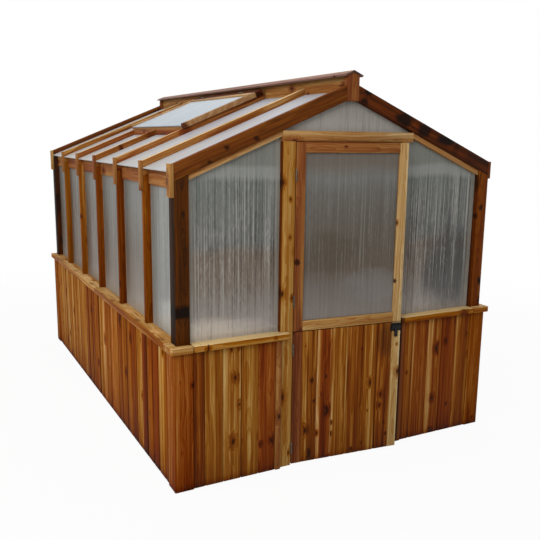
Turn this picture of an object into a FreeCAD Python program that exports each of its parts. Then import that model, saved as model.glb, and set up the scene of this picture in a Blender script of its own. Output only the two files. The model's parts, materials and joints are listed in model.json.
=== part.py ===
import FreeCAD, Part
import math
import os

# Cedar greenhouse with a boarded knee wall, a two-leaf stable door and one roof vent.
# Millimetres. Origin on the ground at the middle of the plan, front gable towards -Y.

# Whole building
wall_width = 2438.0
wall_length = 3658.0
knee_wall_height = 887.0
ridge_line_height = 2485.0
roof_rise = 5.0
roof_run = 12.0
bay_count = 6

# Knee wall
plate_thickness = 38.0
plate_depth = 64.0
board_thickness = 17.0
board_chamfer = 4.5
side_boards_per_half = 15
front_boards_per_side = 5
rear_board_count = 18
ripped_board_share = 0.65
full_board_share = 1.0
corner_board_width = 121.0
corner_board_thickness = 25.0
jamb_trim_width = 38.0

# Sill
sill_width = 140.0
sill_thickness = 38.0
sill_overhang = 25.0
sill_horn_length = 45.0
latch_horn_length = 10.0
corner_cap_radius = 12.0

# Upright framing
post_width = 89.0
stud_thickness = 38.0
stud_depth = 89.0
king_post_width = 64.0
king_post_thickness = 38.0

# Roof framing
rafter_thickness = 38.0
rafter_depth = 89.0
end_cap_thickness = 19.0
end_cap_height = 190.0
short_end_cap_height = 120.0
corner_end_cap_width = 70.0
eave_rail_thickness = 38.0
eave_rail_drop = 53.0
eave_rail_setback = 36.0
ridge_beam_thickness = 38.0
ridge_beam_bottom_drop = 104.0
ridge_peak_rise = 73.0
ridge_cap_half_width = 70.0
ridge_cap_thickness = 12.0
ridge_cap_end_overhang = 6.0
end_block_width = 89.0
end_block_drop = 115.0
gable_stop_height = 32.0
gable_stop_thickness = 28.0

# Twin-wall panels and the battens that hold them
panel_thickness = 6.0
roof_panel_depth = 40.0
wall_panel_setback = 46.0
panel_overlap = 20.0
batten_size = 19.0

# Doorway
door_opening_width = 813.0
jamb_width = 89.0
latch_jamb_width = 38.0
jamb_thickness = 38.0
header_height = 64.0
door_stop_cover = 18.0
door_stop_thickness = 19.0
header_stop_height = 56.0

# Door leaves
leaf_meeting_height = 915.0
leaf_stile_width = 64.0
leaf_board_count = 6
leaf_rail_height = 90.0
pane_setback = 15.0
bead_width = 12.0
upper_hinge_inset = 200.0
lower_hinge_inset = 115.0
door_ajar_angle = 5.5

# Butt hinges
hinge_length = 76.0
hinge_plate_width = 30.0
hinge_plate_thickness = 2.0
knuckle_radius = 5.0
hinge_pin_radius = 3.0
hinge_pin_overrun = 2.0

# Turn latch on the lower leaf
latch_plate_width = 76.0
latch_plate_height = 56.0
latch_plate_thickness = 4.0
latch_plate_inset = 2.0
latch_drop = 31.0
latch_hub_radius = 11.0
latch_hub_length = 10.0
latch_cross_width = 68.0
latch_cross_height = 26.0
latch_bar_width = 22.0
latch_bar_length = 66.0
latch_bar_thickness = 8.0
spindle_radius = 6.0
tongue_width = 20.0
tongue_length = 64.0
tongue_thickness = 6.0

# Bolt that ties the two leaves together
bolt_offset = 250.0
bolt_radius = 5.0
bolt_knob_radius = 8.0
bolt_knob_height = 10.0
bolt_throw = 34.0
bolt_rest_drop = 4.0
barrel_width = 20.0
barrel_depth = 18.0
barrel_height = 70.0
barrel_drop = 12.0
keeper_height = 24.0

# Roof vent on the left slope
vent_first_bay = 2
vent_bay_count = 2
vent_head_start = 45.0
vent_head_width = 58.0
vent_head_height = 38.0
vent_sash_length = 640.0
vent_rail_width = 38.0
vent_ledge_width = 12.0
vent_ledge_height = 19.0
vent_pane_lip = 4.0
vent_hinge_offset = 400.0
trimmer_thickness = 38.0
upper_trimmer_distance = 82.0
lower_trimmer_distance = 660.0

# Prop bar of the vent
prop_length = 500.0
prop_width = 12.0
prop_thickness = 5.0
prop_pin_radius = 3.0
prop_pivot_offset = 250.0

# Clearances
ground_gap = 4.0
board_gap = 1.5
seam_gap = 6.0
sill_gap = 8.0
panel_gap = 2.0
hinge_gap = 5.0
door_latch_gap = 4.0
door_top_gap = 4.0
door_bottom_gap = 8.0
leaf_meeting_gap = 6.0
door_stop_gap = 2.0
pane_gap = 1.0
knuckle_end_gap = 0.3
knuckle_side_gap = 0.6
hinge_surface_gap = 0.5
running_gap = 0.05
keeper_gap = 0.4
knob_gap = 2.0
vent_rest_gap = 1.0
prop_gap = 1.0

# Lines that follow from the sizes above
half_width = wall_width / 2
half_length = wall_length / 2
frame_x = half_width - corner_board_thickness
frame_y = half_length - corner_board_thickness
post_x = frame_x - post_width
post_y = frame_y - post_width
plate_x = frame_x - plate_depth
plate_y = frame_y - plate_depth
sill_outer_x = half_width + sill_overhang
sill_outer_y = half_length + sill_overhang
sill_inner_x = sill_outer_x - sill_width
sill_inner_y = sill_outer_y - sill_width
sill_top = knee_wall_height + sill_thickness
bay_length = wall_length / bay_count
gable_inner_y = frame_y - rafter_thickness
gable_panel_y = gable_inner_y - panel_thickness
jamb_inner = door_opening_width / 2
jamb_outer = jamb_inner + jamb_width
latch_jamb_outer = jamb_inner + latch_jamb_width
roof_slope = roof_rise / roof_run
plumb_factor = math.hypot(roof_rise, roof_run) / roof_run
roof_cosine = 1 / plumb_factor
roof_sine = roof_slope / plumb_factor
ridge_peak = ridge_line_height + ridge_peak_rise
ridge_beam_bottom = ridge_line_height - ridge_beam_bottom_drop
ridge_face = ridge_beam_thickness / 2
panel_bottom_depth = roof_panel_depth + panel_thickness
panel_edge_depth = rafter_depth - panel_overlap
header_top = ridge_line_height - roof_slope * jamb_outer - rafter_depth * plumb_factor
header_bottom = header_top - header_height
eave_rail_bottom = ridge_line_height - roof_slope * frame_x - rafter_depth * plumb_factor - eave_rail_drop
wall_panel_outer = frame_x - wall_panel_setback
wall_panel_inner = wall_panel_outer - panel_thickness
wall_batten_inner = wall_panel_inner - batten_size
door_face = -frame_y
door_back = door_face + jamb_thickness
leaf_thickness = jamb_thickness - door_stop_gap
leaf_left = -jamb_inner + hinge_gap
leaf_right = jamb_inner - door_latch_gap
leaf_back = door_face + leaf_thickness
hinge_rise = knuckle_radius + hinge_surface_gap
door_axis_x = -jamb_inner + hinge_gap / 2
door_axis_y = door_face - hinge_rise
upper_leaf_bottom = leaf_meeting_height + leaf_meeting_gap / 2
upper_leaf_top = header_bottom - door_top_gap
lower_leaf_bottom = door_bottom_gap
lower_leaf_top = leaf_meeting_height - leaf_meeting_gap / 2
latch_x = leaf_right - latch_plate_inset - latch_plate_width / 2
latch_z = lower_leaf_top - latch_drop
vent_sash_start = vent_head_start + vent_head_width + hinge_gap
vent_sash_end = vent_sash_start + vent_sash_length
vent_axis_along = vent_sash_start - hinge_gap / 2
vent_axis_depth = -vent_head_height - hinge_rise
vent_low_y = -half_length + vent_first_bay * bay_length
vent_high_y = vent_low_y + vent_bay_count * bay_length


def box(x_range, y_range, z_range):
    """Return a box between two values along each axis."""
    pairs = [sorted(pair) for pair in (x_range, y_range, z_range)]
    sizes = [high - low for low, high in pairs]
    corner = FreeCAD.Vector(*[low for low, high in pairs])
    return Part.makeBox(*sizes, corner)


def swept(points, direction):
    """Return the solid swept by a flat closed outline."""
    face = Part.Face(Part.makePolygon(points + points[:1]))
    return face.extrude(direction)


def gable_prism(outline, y_range):
    """Sweep an outline of (x, z) points along the building."""
    low, high = sorted(y_range)
    points = [FreeCAD.Vector(x, low, z) for x, z in outline]
    return swept(points, FreeCAD.Vector(0, high - low, 0))


def plan_prism(outline, z_range):
    """Sweep an outline of (x, y) points upwards."""
    low, high = sorted(z_range)
    points = [FreeCAD.Vector(x, y, low) for x, y in outline]
    return swept(points, FreeCAD.Vector(0, 0, high - low))


def cylinder(radius, length, start, direction):
    """Return a cylinder from a start point along a direction."""
    return Part.makeCylinder(radius, length, FreeCAD.Vector(*start), FreeCAD.Vector(*direction))


def roof_height(distance, depth=0.0):
    """Return the height of the plane that lies a depth below the rafter tops."""
    return ridge_line_height - roof_slope * distance - depth * plumb_factor


def roof_distance(height, depth):
    """Return how far from the ridge such a plane is at a given height."""
    return (ridge_line_height - depth * plumb_factor - height) / roof_slope


def slope_member(side, x_range, depth_range, y_range):
    """Return a piece that follows one roof slope and has plumb-cut ends."""
    near, far = x_range
    top, bottom = depth_range
    outline = [(near, top), (far, top), (far, bottom), (near, bottom)]
    corners = [(side * x, roof_height(x, depth)) for x, depth in outline]
    return gable_prism(corners, y_range)


def slope_point(along, depth):
    """Return (x, z) on the left slope from the way down it and the depth below the rafter tops."""
    x = -(along * roof_cosine - depth * roof_sine)
    z = ridge_line_height - along * roof_sine - depth * roof_cosine
    return x, z


def slope_box(along_range, depth_range, y_range):
    """Return a square-cut piece on the left roof slope."""
    start, end = along_range
    top, bottom = depth_range
    outline = [(start, top), (end, top), (end, bottom), (start, bottom)]
    return gable_prism([slope_point(along, depth) for along, depth in outline], y_range)


def capped_upright(x_range, y_range, bottom, depth):
    """Return an upright whose top is cut to a plane below the rafter tops."""
    near, far = x_range
    near_top = roof_height(abs(near), depth)
    far_top = roof_height(abs(far), depth)
    outline = [(near, bottom), (far, bottom), (far, far_top), (near, near_top)]
    return gable_prism(outline, y_range)


def gable_outline(reach, bottom, depth, flat_top):
    """Return an (x, z) outline under both slopes, cut off level at the top."""
    top = roof_distance(flat_top, depth)
    shoulder = roof_height(reach, depth)
    right = [(reach, bottom), (reach, shoulder), (top, flat_top)]
    left = [(-x, z) for x, z in reversed(right)]
    return right + left


def board(along_range, z_range, to_plan):
    """Return one upright board with chamfered front edges."""
    low, high = along_range
    edge = board_thickness - board_chamfer
    outline = [(low, 0), (high, 0), (high, edge), (high - board_chamfer, board_thickness)]
    outline += [(low + board_chamfer, board_thickness), (low, edge)]
    return plan_prism([to_plan(along, out) for along, out in outline], z_range)


def board_row(span, count, last_share, z_range, to_plan):
    """Return boards side by side along a span; the last is ripped to a share of the width."""
    start, end = span
    pitch = (end - start) / (count - 1 + last_share)
    row = []
    for number in range(count):
        first = start + number * pitch
        last = end if number == count - 1 else first + pitch
        low, high = sorted((first, last))
        row.append(board((low + board_gap / 2, high - board_gap / 2), z_range, to_plan))
    return row


def jamb_edge(side):
    """Return how far out a door jamb reaches: the hinge jamb is on the left, the latch jamb on the right."""
    return jamb_outer if side < 0 else latch_jamb_outer


def front_panel_edge(side):
    """Return how far out a front wall panel starts, behind its jamb."""
    return jamb_edge(side) - panel_overlap


def rafter_line(number):
    """Return the y of a rafter, counted from the front gable."""
    return -half_length + number * bay_length


def bay_range(number, edge):
    """Return the clear y range of a bay between uprights; edge is the inner face at the gables."""
    low = rafter_line(number) + stud_thickness / 2
    high = rafter_line(number + 1) - stud_thickness / 2
    if number == 0:
        low = -edge
    if number == bay_count - 1:
        high = edge
    return low, high


def hinge_leaf(knuckles, direction):
    """Return one leaf of a butt hinge about local Z, with its plate running back in the joint gap."""
    face = direction * hinge_gap / 2
    flat = (face, face - direction * hinge_plate_thickness)
    inner = knuckle_radius + knuckle_side_gap
    leaf = box(flat, (inner, hinge_rise + hinge_plate_width), (0, hinge_length))
    for low, high in knuckles:
        leaf = leaf.fuse(box(flat, (0, inner), (low, high)))
        leaf = leaf.fuse(cylinder(knuckle_radius, high - low, (0, 0, low), (0, 0, 1)))
    bore = cylinder(hinge_pin_radius + running_gap, hinge_length, (0, 0, 0), (0, 0, 1))
    return leaf.cut(bore).removeSplitter()


def fixed_hinge_leaf():
    """Return the leaf with the two outer knuckles."""
    third = hinge_length / 3
    return hinge_leaf([(0, third), (hinge_length - third, hinge_length)], -1)


def moving_hinge_leaf():
    """Return the leaf with the middle knuckle."""
    third = hinge_length / 3
    return hinge_leaf([(third + knuckle_end_gap, hinge_length - third - knuckle_end_gap)], 1)


def hinge_pin():
    """Return the pin of a butt hinge."""
    length = hinge_length + 2 * hinge_pin_overrun
    return cylinder(hinge_pin_radius, length, (0, 0, -hinge_pin_overrun), (0, 0, 1))


def place_door_hinge(shape, middle):
    """Move a hinge piece to the door axis with its middle at a height."""
    shape.translate(FreeCAD.Vector(door_axis_x, door_axis_y, middle - hinge_length / 2))
    return shape


def place_vent_hinge(shape, middle):
    """Move a hinge piece to the vent axis with its middle at a y."""
    x, z = slope_point(vent_axis_along, vent_axis_depth)
    matrix = FreeCAD.Matrix(
        -roof_cosine, roof_sine, 0, x,
        0, 0, -1, middle + hinge_length / 2,
        -roof_sine, -roof_cosine, 0, z,
        0, 0, 0, 1)
    return shape.transformed(matrix)


def ajar(shape):
    """Turn a piece of a closed leaf to the angle at which the leaves stand."""
    turned = shape.copy()
    turned.rotate(FreeCAD.Vector(door_axis_x, door_axis_y, 0), FreeCAD.Vector(0, 0, 1), -door_ajar_angle)
    return turned


def export(name, solids):
    """Write one named node as a STEP file."""
    shape = solids[0] if len(solids) == 1 else Part.makeCompound(solids)
    shape.exportStep("parts/" + name + ".step")


def make_knee_frame():
    """Write the rails and studs behind the boards."""
    def rails(z_range):
        pieces = []
        for side in (-1, 1):
            pieces.append(box((side * plate_x, side * frame_x), (-frame_y, frame_y), z_range))
            pieces.append(box((side * jamb_edge(side), side * plate_x), (-frame_y, -plate_y), z_range))
        pieces.append(box((-plate_x, plate_x), (plate_y, frame_y), z_range))
        return pieces

    stud_range = (plate_thickness, knee_wall_height - plate_thickness)
    studs = []
    for side in (-1, 1):
        for end in (-1, 1):
            studs.append(box((side * plate_x, side * frame_x), (end * plate_y, end * frame_y), stud_range))
        for number in range(1, bay_count):
            line = rafter_line(number)
            y_range = (line - stud_thickness / 2, line + stud_thickness / 2)
            studs.append(box((side * plate_x, side * frame_x), y_range, stud_range))
        x_range = (side * jamb_edge(side), side * (jamb_edge(side) + stud_thickness))
        studs.append(box(x_range, (-frame_y, -plate_y), stud_range))
        x_range = (side * jamb_outer, side * (jamb_outer + stud_thickness))
        studs.append(box(x_range, (plate_y, frame_y), stud_range))
    export("base_rails", rails((0, plate_thickness)))
    export("knee_top_rails", rails((knee_wall_height - plate_thickness, knee_wall_height)))
    export("knee_studs", studs)


def make_boards():
    """Write the upright boards, corner boards and jamb trims of the knee wall."""
    z_range = (ground_gap, knee_wall_height)
    side_reach = half_length - corner_board_width
    end_reach = half_width - corner_board_width
    side_boards = []
    front_boards = []
    corner_boards = []
    trims = []
    for side in (-1, 1):
        def on_side(along, out, side=side):
            return side * (frame_x + out), along

        def on_front(along, out, side=side):
            return side * along, -frame_y - out

        for end in (-1, 1):
            span = (end * seam_gap / 2, end * side_reach)
            side_boards += board_row(span, side_boards_per_half, ripped_board_share, z_range, on_side)
        trim_edge = jamb_edge(side) + jamb_trim_width
        span = (trim_edge, end_reach) if side < 0 else (end_reach, trim_edge)
        front_boards += board_row(span, front_boards_per_side, ripped_board_share, z_range, on_front)
        trims.append(box((side * jamb_edge(side), side * trim_edge), (-half_length, -frame_y), z_range))
        for end in (-1, 1):
            x_range = (side * end_reach, side * half_width)
            corner_boards.append(box(x_range, (end * frame_y, end * half_length), z_range))
            x_range = (side * frame_x, side * half_width)
            corner_boards.append(box(x_range, (end * side_reach, end * frame_y), z_range))

    def on_rear(along, out):
        return along, frame_y + out

    export("side_boards", side_boards)
    export("front_boards", front_boards)
    span = (-end_reach, end_reach)
    rear_boards = board_row(span, rear_board_count, ripped_board_share, z_range, on_rear)
    export("rear_boards", rear_boards)
    export("corner_boards", corner_boards)
    export("jamb_trims", trims)


def make_sills():
    """Write the sill pieces and the corner caps."""
    z_range = (knee_wall_height, sill_top)
    end_y = sill_inner_y - sill_gap
    end_x = sill_inner_x - sill_gap
    side_sills = []
    front_sills = []
    caps = []
    for side in (-1, 1):
        for end in (-1, 1):
            y_range = (end * seam_gap / 2, end * end_y)
            side_sills.append(box((side * sill_inner_x, side * sill_outer_x), y_range, z_range))
            x_range = (side * sill_inner_x, side * sill_outer_x)
            cap = box(x_range, (end * sill_inner_y, end * sill_outer_y), z_range)
            corner = [edge for edge in cap.Edges if is_outer_corner(edge)]
            caps.append(cap.makeFillet(corner_cap_radius, corner))
        edge = jamb_edge(side)
        horn = edge - (sill_horn_length if side < 0 else latch_horn_length)
        outline = [(horn, -sill_outer_y), (end_x, -sill_outer_y), (end_x, -sill_inner_y)]
        outline += [(edge, -sill_inner_y), (edge, -frame_y), (horn, -frame_y)]
        front_sills.append(plan_prism([(side * x, y) for x, y in outline], z_range))
    export("side_sills", side_sills)
    export("front_sills", front_sills)
    export("rear_sill", [box((-end_x, end_x), (sill_inner_y, sill_outer_y), z_range)])
    export("corner_caps", caps)


def is_outer_corner(edge):
    """Tell whether an upright edge is the outer corner of a corner cap."""
    middle = edge.CenterOfMass
    return abs(middle.x) > half_width and abs(middle.y) > half_length


def make_uprights():
    """Write the posts, studs and king posts above the sill."""
    posts = []
    studs = []
    rear_studs = []
    for side in (-1, 1):
        x_range = (side * post_x, side * frame_x)
        for end in (-1, 1):
            notched = capped_upright(x_range, (end * gable_inner_y, end * frame_y), sill_top, rafter_depth)
            inner = capped_upright(x_range, (end * post_y, end * gable_inner_y), sill_top, panel_bottom_depth)
            posts.append(notched.fuse(inner).removeSplitter())
        x_range = (side * (frame_x - stud_depth), side * frame_x)
        for number in range(1, bay_count):
            line = rafter_line(number)
            y_range = (line - stud_thickness / 2, line + stud_thickness / 2)
            studs.append(capped_upright(x_range, y_range, sill_top, rafter_depth))
        x_range = (side * jamb_inner, side * jamb_outer)
        rear_studs.append(capped_upright(x_range, (gable_inner_y, frame_y), sill_top, rafter_depth))
    x_range = (-king_post_width / 2, king_post_width / 2)
    y_range = (gable_panel_y - king_post_thickness, gable_panel_y)
    front_bottom = header_bottom - door_stop_cover + header_stop_height
    front_y = (-gable_panel_y, -gable_panel_y + king_post_thickness)
    king_posts = [box(x_range, front_y, (front_bottom, ridge_beam_bottom))]
    king_posts.append(box(x_range, y_range, (sill_top, ridge_beam_bottom)))
    export("corner_posts", posts)
    export("side_studs", studs)
    export("rear_studs", rear_studs)
    export("king_posts", king_posts)


def make_roof_frame():
    """Write the rafters, their end caps, the eave rails and the vent trimmers."""
    rafters = []
    gable_rafters = []
    end_caps = []
    eave_rails = []
    cut_rafters = range(vent_first_bay + 1, vent_first_bay + vent_bay_count)
    below_vent = lower_trimmer_distance + trimmer_thickness
    cap_top = roof_height(frame_x)
    for side in (-1, 1):
        cap_x = (side * frame_x, side * (frame_x + end_cap_thickness))
        cap_bottom = cap_top - (end_cap_height if side < 0 else short_end_cap_height)
        for number in range(1, bay_count):
            line = rafter_line(number)
            y_range = (line - rafter_thickness / 2, line + rafter_thickness / 2)
            spans = [(ridge_face, frame_x)]
            if side < 0 and number in cut_rafters:
                spans = [(ridge_face, upper_trimmer_distance), (below_vent, frame_x)]
            for span in spans:
                rafters.append(slope_member(side, span, (0, rafter_depth), y_range))
            end_caps.append(box(cap_x, y_range, (cap_bottom, cap_top)))
        for end in (-1, 1):
            y_range = (end * gable_inner_y, end * frame_y)
            span = (end_block_width / 2, frame_x)
            gable_rafters.append(slope_member(side, span, (0, rafter_depth), y_range))
            y_range = (end * (frame_y - corner_end_cap_width), end * frame_y)
            end_caps.append(box(cap_x, y_range, (cap_bottom, cap_top)))
        outer = frame_x - eave_rail_setback
        x_range = (side * (outer - eave_rail_thickness), side * outer)
        for number in range(bay_count):
            y_range = bay_range(number, post_y)
            eave_rails.append(capped_upright(x_range, y_range, eave_rail_bottom, panel_bottom_depth))
    trimmers = []
    opening = (vent_low_y + rafter_thickness / 2, vent_high_y - rafter_thickness / 2)
    for start in (upper_trimmer_distance, lower_trimmer_distance):
        trimmers.append(slope_member(-1, (start, start + trimmer_thickness), (0, rafter_depth), opening))
    export("rafters", rafters)
    export("gable_rafters", gable_rafters)
    export("rafter_end_caps", end_caps)
    export("eave_rails", eave_rails)
    export("vent_trimmers", trimmers)


def make_ridge():
    """Write the ridge beam, its end blocks and the two cap boards."""
    cap_bottom = ridge_peak - ridge_cap_thickness * plumb_factor

    def pointed(half, bottom):
        shoulder = cap_bottom - roof_slope * half
        return [(-half, bottom), (half, bottom), (half, shoulder), (0, cap_bottom), (-half, shoulder)]

    beam = gable_prism(pointed(ridge_face, ridge_beam_bottom), (-gable_inner_y, gable_inner_y))
    block_outline = pointed(end_block_width / 2, ridge_line_height - end_block_drop)
    blocks = [gable_prism(block_outline, (end * gable_inner_y, end * frame_y)) for end in (-1, 1)]
    outer = (ridge_cap_half_width, ridge_peak - roof_slope * ridge_cap_half_width)
    lower_x = outer[0] - ridge_cap_thickness * roof_sine
    lower_z = outer[1] - ridge_cap_thickness * roof_cosine
    cap_outline = [(0, ridge_peak), outer, (lower_x, lower_z), (0, cap_bottom)]
    reach = frame_y + ridge_cap_end_overhang
    caps = [gable_prism([(side * x, z) for x, z in cap_outline], (-reach, reach)) for side in (-1, 1)]
    export("ridge_beam", [beam])
    export("ridge_end_blocks", blocks)
    export("ridge_caps", caps)


def make_doorway():
    """Write the jambs, header, stops and threshold of the doorway and the gable glazing stops."""
    y_range = (door_face, door_back)
    stop_y = (door_back, door_back + door_stop_thickness)
    stop_inner = jamb_inner - door_stop_cover
    stop_top = header_bottom - door_stop_cover
    jambs = []
    stops = []
    gable_stops = []
    for side in (-1, 1):
        jambs.append(box((side * jamb_inner, side * jamb_edge(side)), y_range, (0, header_bottom)))
        stop_outer = front_panel_edge(side) - panel_gap
        stops.append(box((side * stop_inner, side * stop_outer), stop_y, (plate_thickness, stop_top)))
        for end in (-1, 1):
            strip_y = (end * gable_inner_y, end * (gable_inner_y + gable_stop_thickness))
            depths = (rafter_depth, rafter_depth + gable_stop_height)
            gable_stops.append(slope_member(side, (jamb_outer, post_x), depths, strip_y))
    reach = jamb_outer - panel_overlap - panel_gap
    stops.append(box((-reach, reach), stop_y, (stop_top, stop_top + header_stop_height)))
    threshold_y = (door_back, door_back + plate_depth)
    export("door_jambs", jambs)
    export("door_header", [box((-jamb_outer, jamb_outer), y_range, (header_bottom, header_top))])
    export("door_stops", stops)
    export("door_threshold", [box((-jamb_edge(-1), jamb_edge(1)), threshold_y, (0, plate_thickness))])
    export("gable_stops", gable_stops)


def make_wall_panels():
    """Write the wall panels and the battens inside them."""
    panels = []
    battens = []
    top = eave_rail_bottom
    for side in (-1, 1):
        panel_x = (side * wall_panel_inner, side * wall_panel_outer)
        batten_x = (side * wall_batten_inner, side * wall_panel_inner)
        for number in range(bay_count):
            low, high = bay_range(number, post_y)
            panels.append(box(panel_x, (low + panel_gap, high - panel_gap), (sill_top, top - panel_gap)))
            upright = (sill_top + batten_size, top - batten_size)
            battens.append(box(batten_x, (low, low + batten_size), upright))
            battens.append(box(batten_x, (high - batten_size, high), upright))
            battens.append(box(batten_x, (low, high), (sill_top, sill_top + batten_size)))
            battens.append(box(batten_x, (low, high), (top - batten_size, top)))
    inner = jamb_outer - panel_overlap
    outer = post_x - panel_gap
    stop_top = header_bottom - door_stop_cover
    front_panels = []
    for side in (-1, 1):
        x_range = (side * inner, side * outer)
        front_y = (-gable_inner_y, -gable_panel_y)
        panel = capped_upright(x_range, front_y, sill_top, panel_edge_depth)
        start = front_panel_edge(side)
        if start < inner:
            tab = box((side * start, side * inner), front_y, (sill_top, stop_top - panel_gap))
            panel = panel.fuse(tab).removeSplitter()
        front_panels.append(panel)
        for end in (-1, 1):
            y_range = (end * (gable_panel_y - batten_size), end * gable_panel_y)
            low = sill_top + batten_size
            high_x = (side * (outer - batten_size), side * outer)
            battens.append(box(high_x, y_range, (low, roof_height(outer, rafter_depth))))
            edge = start if end < 0 else inner
            batten_top = stop_top - panel_gap if end < 0 else roof_height(jamb_outer, rafter_depth)
            battens.append(box((side * edge, side * (edge + batten_size)), y_range, (low, batten_top)))
            battens.append(box((side * (edge + panel_overlap), side * outer), y_range, (sill_top, low)))
    flat_top = ridge_beam_bottom - panel_gap
    reach = inner - panel_gap
    pane = gable_outline(reach, header_top - panel_overlap, panel_edge_depth, flat_top)
    rear_panels = []
    rear_y = (gable_panel_y, gable_inner_y)
    joint = (jamb_inner + jamb_outer) / 2
    for side in (-1, 1):
        x_range = (side * (joint + panel_gap / 2), side * outer)
        rear_panels.append(capped_upright(x_range, rear_y, sill_top, panel_edge_depth))
    middle = gable_outline(joint - panel_gap / 2, sill_top, panel_edge_depth, flat_top)
    rear_panels.append(gable_prism(middle, rear_y))
    export("wall_panels", panels)
    export("wall_battens", battens)
    export("front_panels", front_panels)
    export("gable_pane", [gable_prism(pane, (-gable_inner_y, -gable_panel_y))])
    export("rear_panels", rear_panels)


def make_roof_panels():
    """Write the roof panels and the battens under them."""
    panels = []
    battens = []
    panel_depths = (roof_panel_depth, panel_bottom_depth)
    batten_depths = (panel_bottom_depth, panel_bottom_depth + batten_size)
    below_vent = lower_trimmer_distance + trimmer_thickness
    top = ridge_face + panel_gap
    for side in (-1, 1):
        for number in range(bay_count):
            low, high = bay_range(number, gable_inner_y)
            panel_y = (low + panel_gap, high - panel_gap)
            start = top
            if side < 0 and vent_first_bay <= number < vent_first_bay + vent_bay_count:
                start = below_vent + panel_gap
                above = (top, upper_trimmer_distance - panel_gap)
                panels.append(slope_member(side, above, panel_depths, panel_y))
            panels.append(slope_member(side, (start, frame_x), panel_depths, panel_y))
            batten_x = (start, post_x)
            battens.append(slope_member(side, batten_x, batten_depths, (low, low + batten_size)))
            battens.append(slope_member(side, batten_x, batten_depths, (high - batten_size, high)))
    export("roof_panels", panels)
    export("roof_battens", battens)


def make_upper_leaf():
    """Write the glazed upper door leaf."""
    y_range = (door_face, leaf_back)
    z_range = (upper_leaf_bottom, upper_leaf_top)
    inner_left = leaf_left + leaf_stile_width
    inner_right = leaf_right - leaf_stile_width
    inner_bottom = upper_leaf_bottom + leaf_stile_width
    inner_top = upper_leaf_top - leaf_stile_width
    stiles = [box((leaf_left, inner_left), y_range, z_range)]
    stiles.append(box((inner_right, leaf_right), y_range, z_range))
    rails = [box((inner_left, inner_right), y_range, (upper_leaf_bottom, inner_bottom))]
    rails.append(box((inner_left, inner_right), y_range, (inner_top, upper_leaf_top)))
    pane_y = (door_face + pane_setback, door_face + pane_setback + panel_thickness)
    pane_x = (inner_left + pane_gap, inner_right - pane_gap)
    pane = box(pane_x, pane_y, (inner_bottom + pane_gap, inner_top - pane_gap))
    bead_y = (pane_y[1], leaf_back)
    upright = (inner_bottom + bead_width, inner_top - bead_width)
    beads = [box((inner_left, inner_left + bead_width), bead_y, upright)]
    beads.append(box((inner_right - bead_width, inner_right), bead_y, upright))
    beads.append(box((inner_left, inner_right), bead_y, (inner_bottom, inner_bottom + bead_width)))
    beads.append(box((inner_left, inner_right), bead_y, (inner_top - bead_width, inner_top)))
    export("upper_door_stiles", [ajar(piece) for piece in stiles])
    export("upper_door_rails", [ajar(piece) for piece in rails])
    export("upper_door_pane", [ajar(pane)])
    export("upper_door_beads", [ajar(piece) for piece in beads])


def make_lower_leaf():
    """Write the boarded lower door leaf."""
    y_range = (door_face, leaf_back)
    z_range = (lower_leaf_bottom, lower_leaf_top)
    inner_left = leaf_left + leaf_stile_width
    inner_right = leaf_right - leaf_stile_width
    left_stile = box((leaf_left, inner_left), y_range, z_range)
    right_stile = box((inner_right, leaf_right), y_range, z_range)
    bore = cylinder(spindle_radius + running_gap, leaf_thickness, (latch_x, door_face, latch_z), (0, 1, 0))
    rail_y = (door_face + board_thickness, leaf_back)
    rail_x = (inner_left, inner_right)
    rails = [box(rail_x, rail_y, (lower_leaf_bottom, lower_leaf_bottom + leaf_rail_height))]
    rails.append(box(rail_x, rail_y, (lower_leaf_top - leaf_rail_height, lower_leaf_top)))

    def on_leaf(along, out):
        return along, door_face + board_thickness - out

    boards = board_row((inner_left, inner_right), leaf_board_count, full_board_share, z_range, on_leaf)
    export("lower_door_stiles", [ajar(left_stile), ajar(right_stile.cut(bore))])
    export("lower_door_rails", [ajar(piece) for piece in rails])
    export("lower_door_boards", [ajar(piece) for piece in boards])


def make_hinges():
    """Write the leaves and pins of the door and vent hinges."""
    upper = (upper_leaf_bottom + upper_hinge_inset, upper_leaf_top - upper_hinge_inset)
    lower = (lower_leaf_bottom + lower_hinge_inset, lower_leaf_top - lower_hinge_inset)
    vent_middle = (vent_low_y + vent_high_y) / 2
    vent_places = (vent_middle - vent_hinge_offset, vent_middle + vent_hinge_offset)
    fixed = [place_door_hinge(fixed_hinge_leaf(), z) for z in upper + lower]
    fixed += [place_vent_hinge(fixed_hinge_leaf(), y) for y in vent_places]
    pins = [place_door_hinge(hinge_pin(), z) for z in upper + lower]
    pins += [place_vent_hinge(hinge_pin(), y) for y in vent_places]
    export("hinge_fixed_leaves", fixed)
    export("hinge_pins", pins)
    export("upper_door_hinge_leaves", [ajar(place_door_hinge(moving_hinge_leaf(), z)) for z in upper])
    export("lower_door_hinge_leaves", [ajar(place_door_hinge(moving_hinge_leaf(), z)) for z in lower])
    export("vent_hinge_leaves", [place_vent_hinge(moving_hinge_leaf(), y) for y in vent_places])


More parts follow.
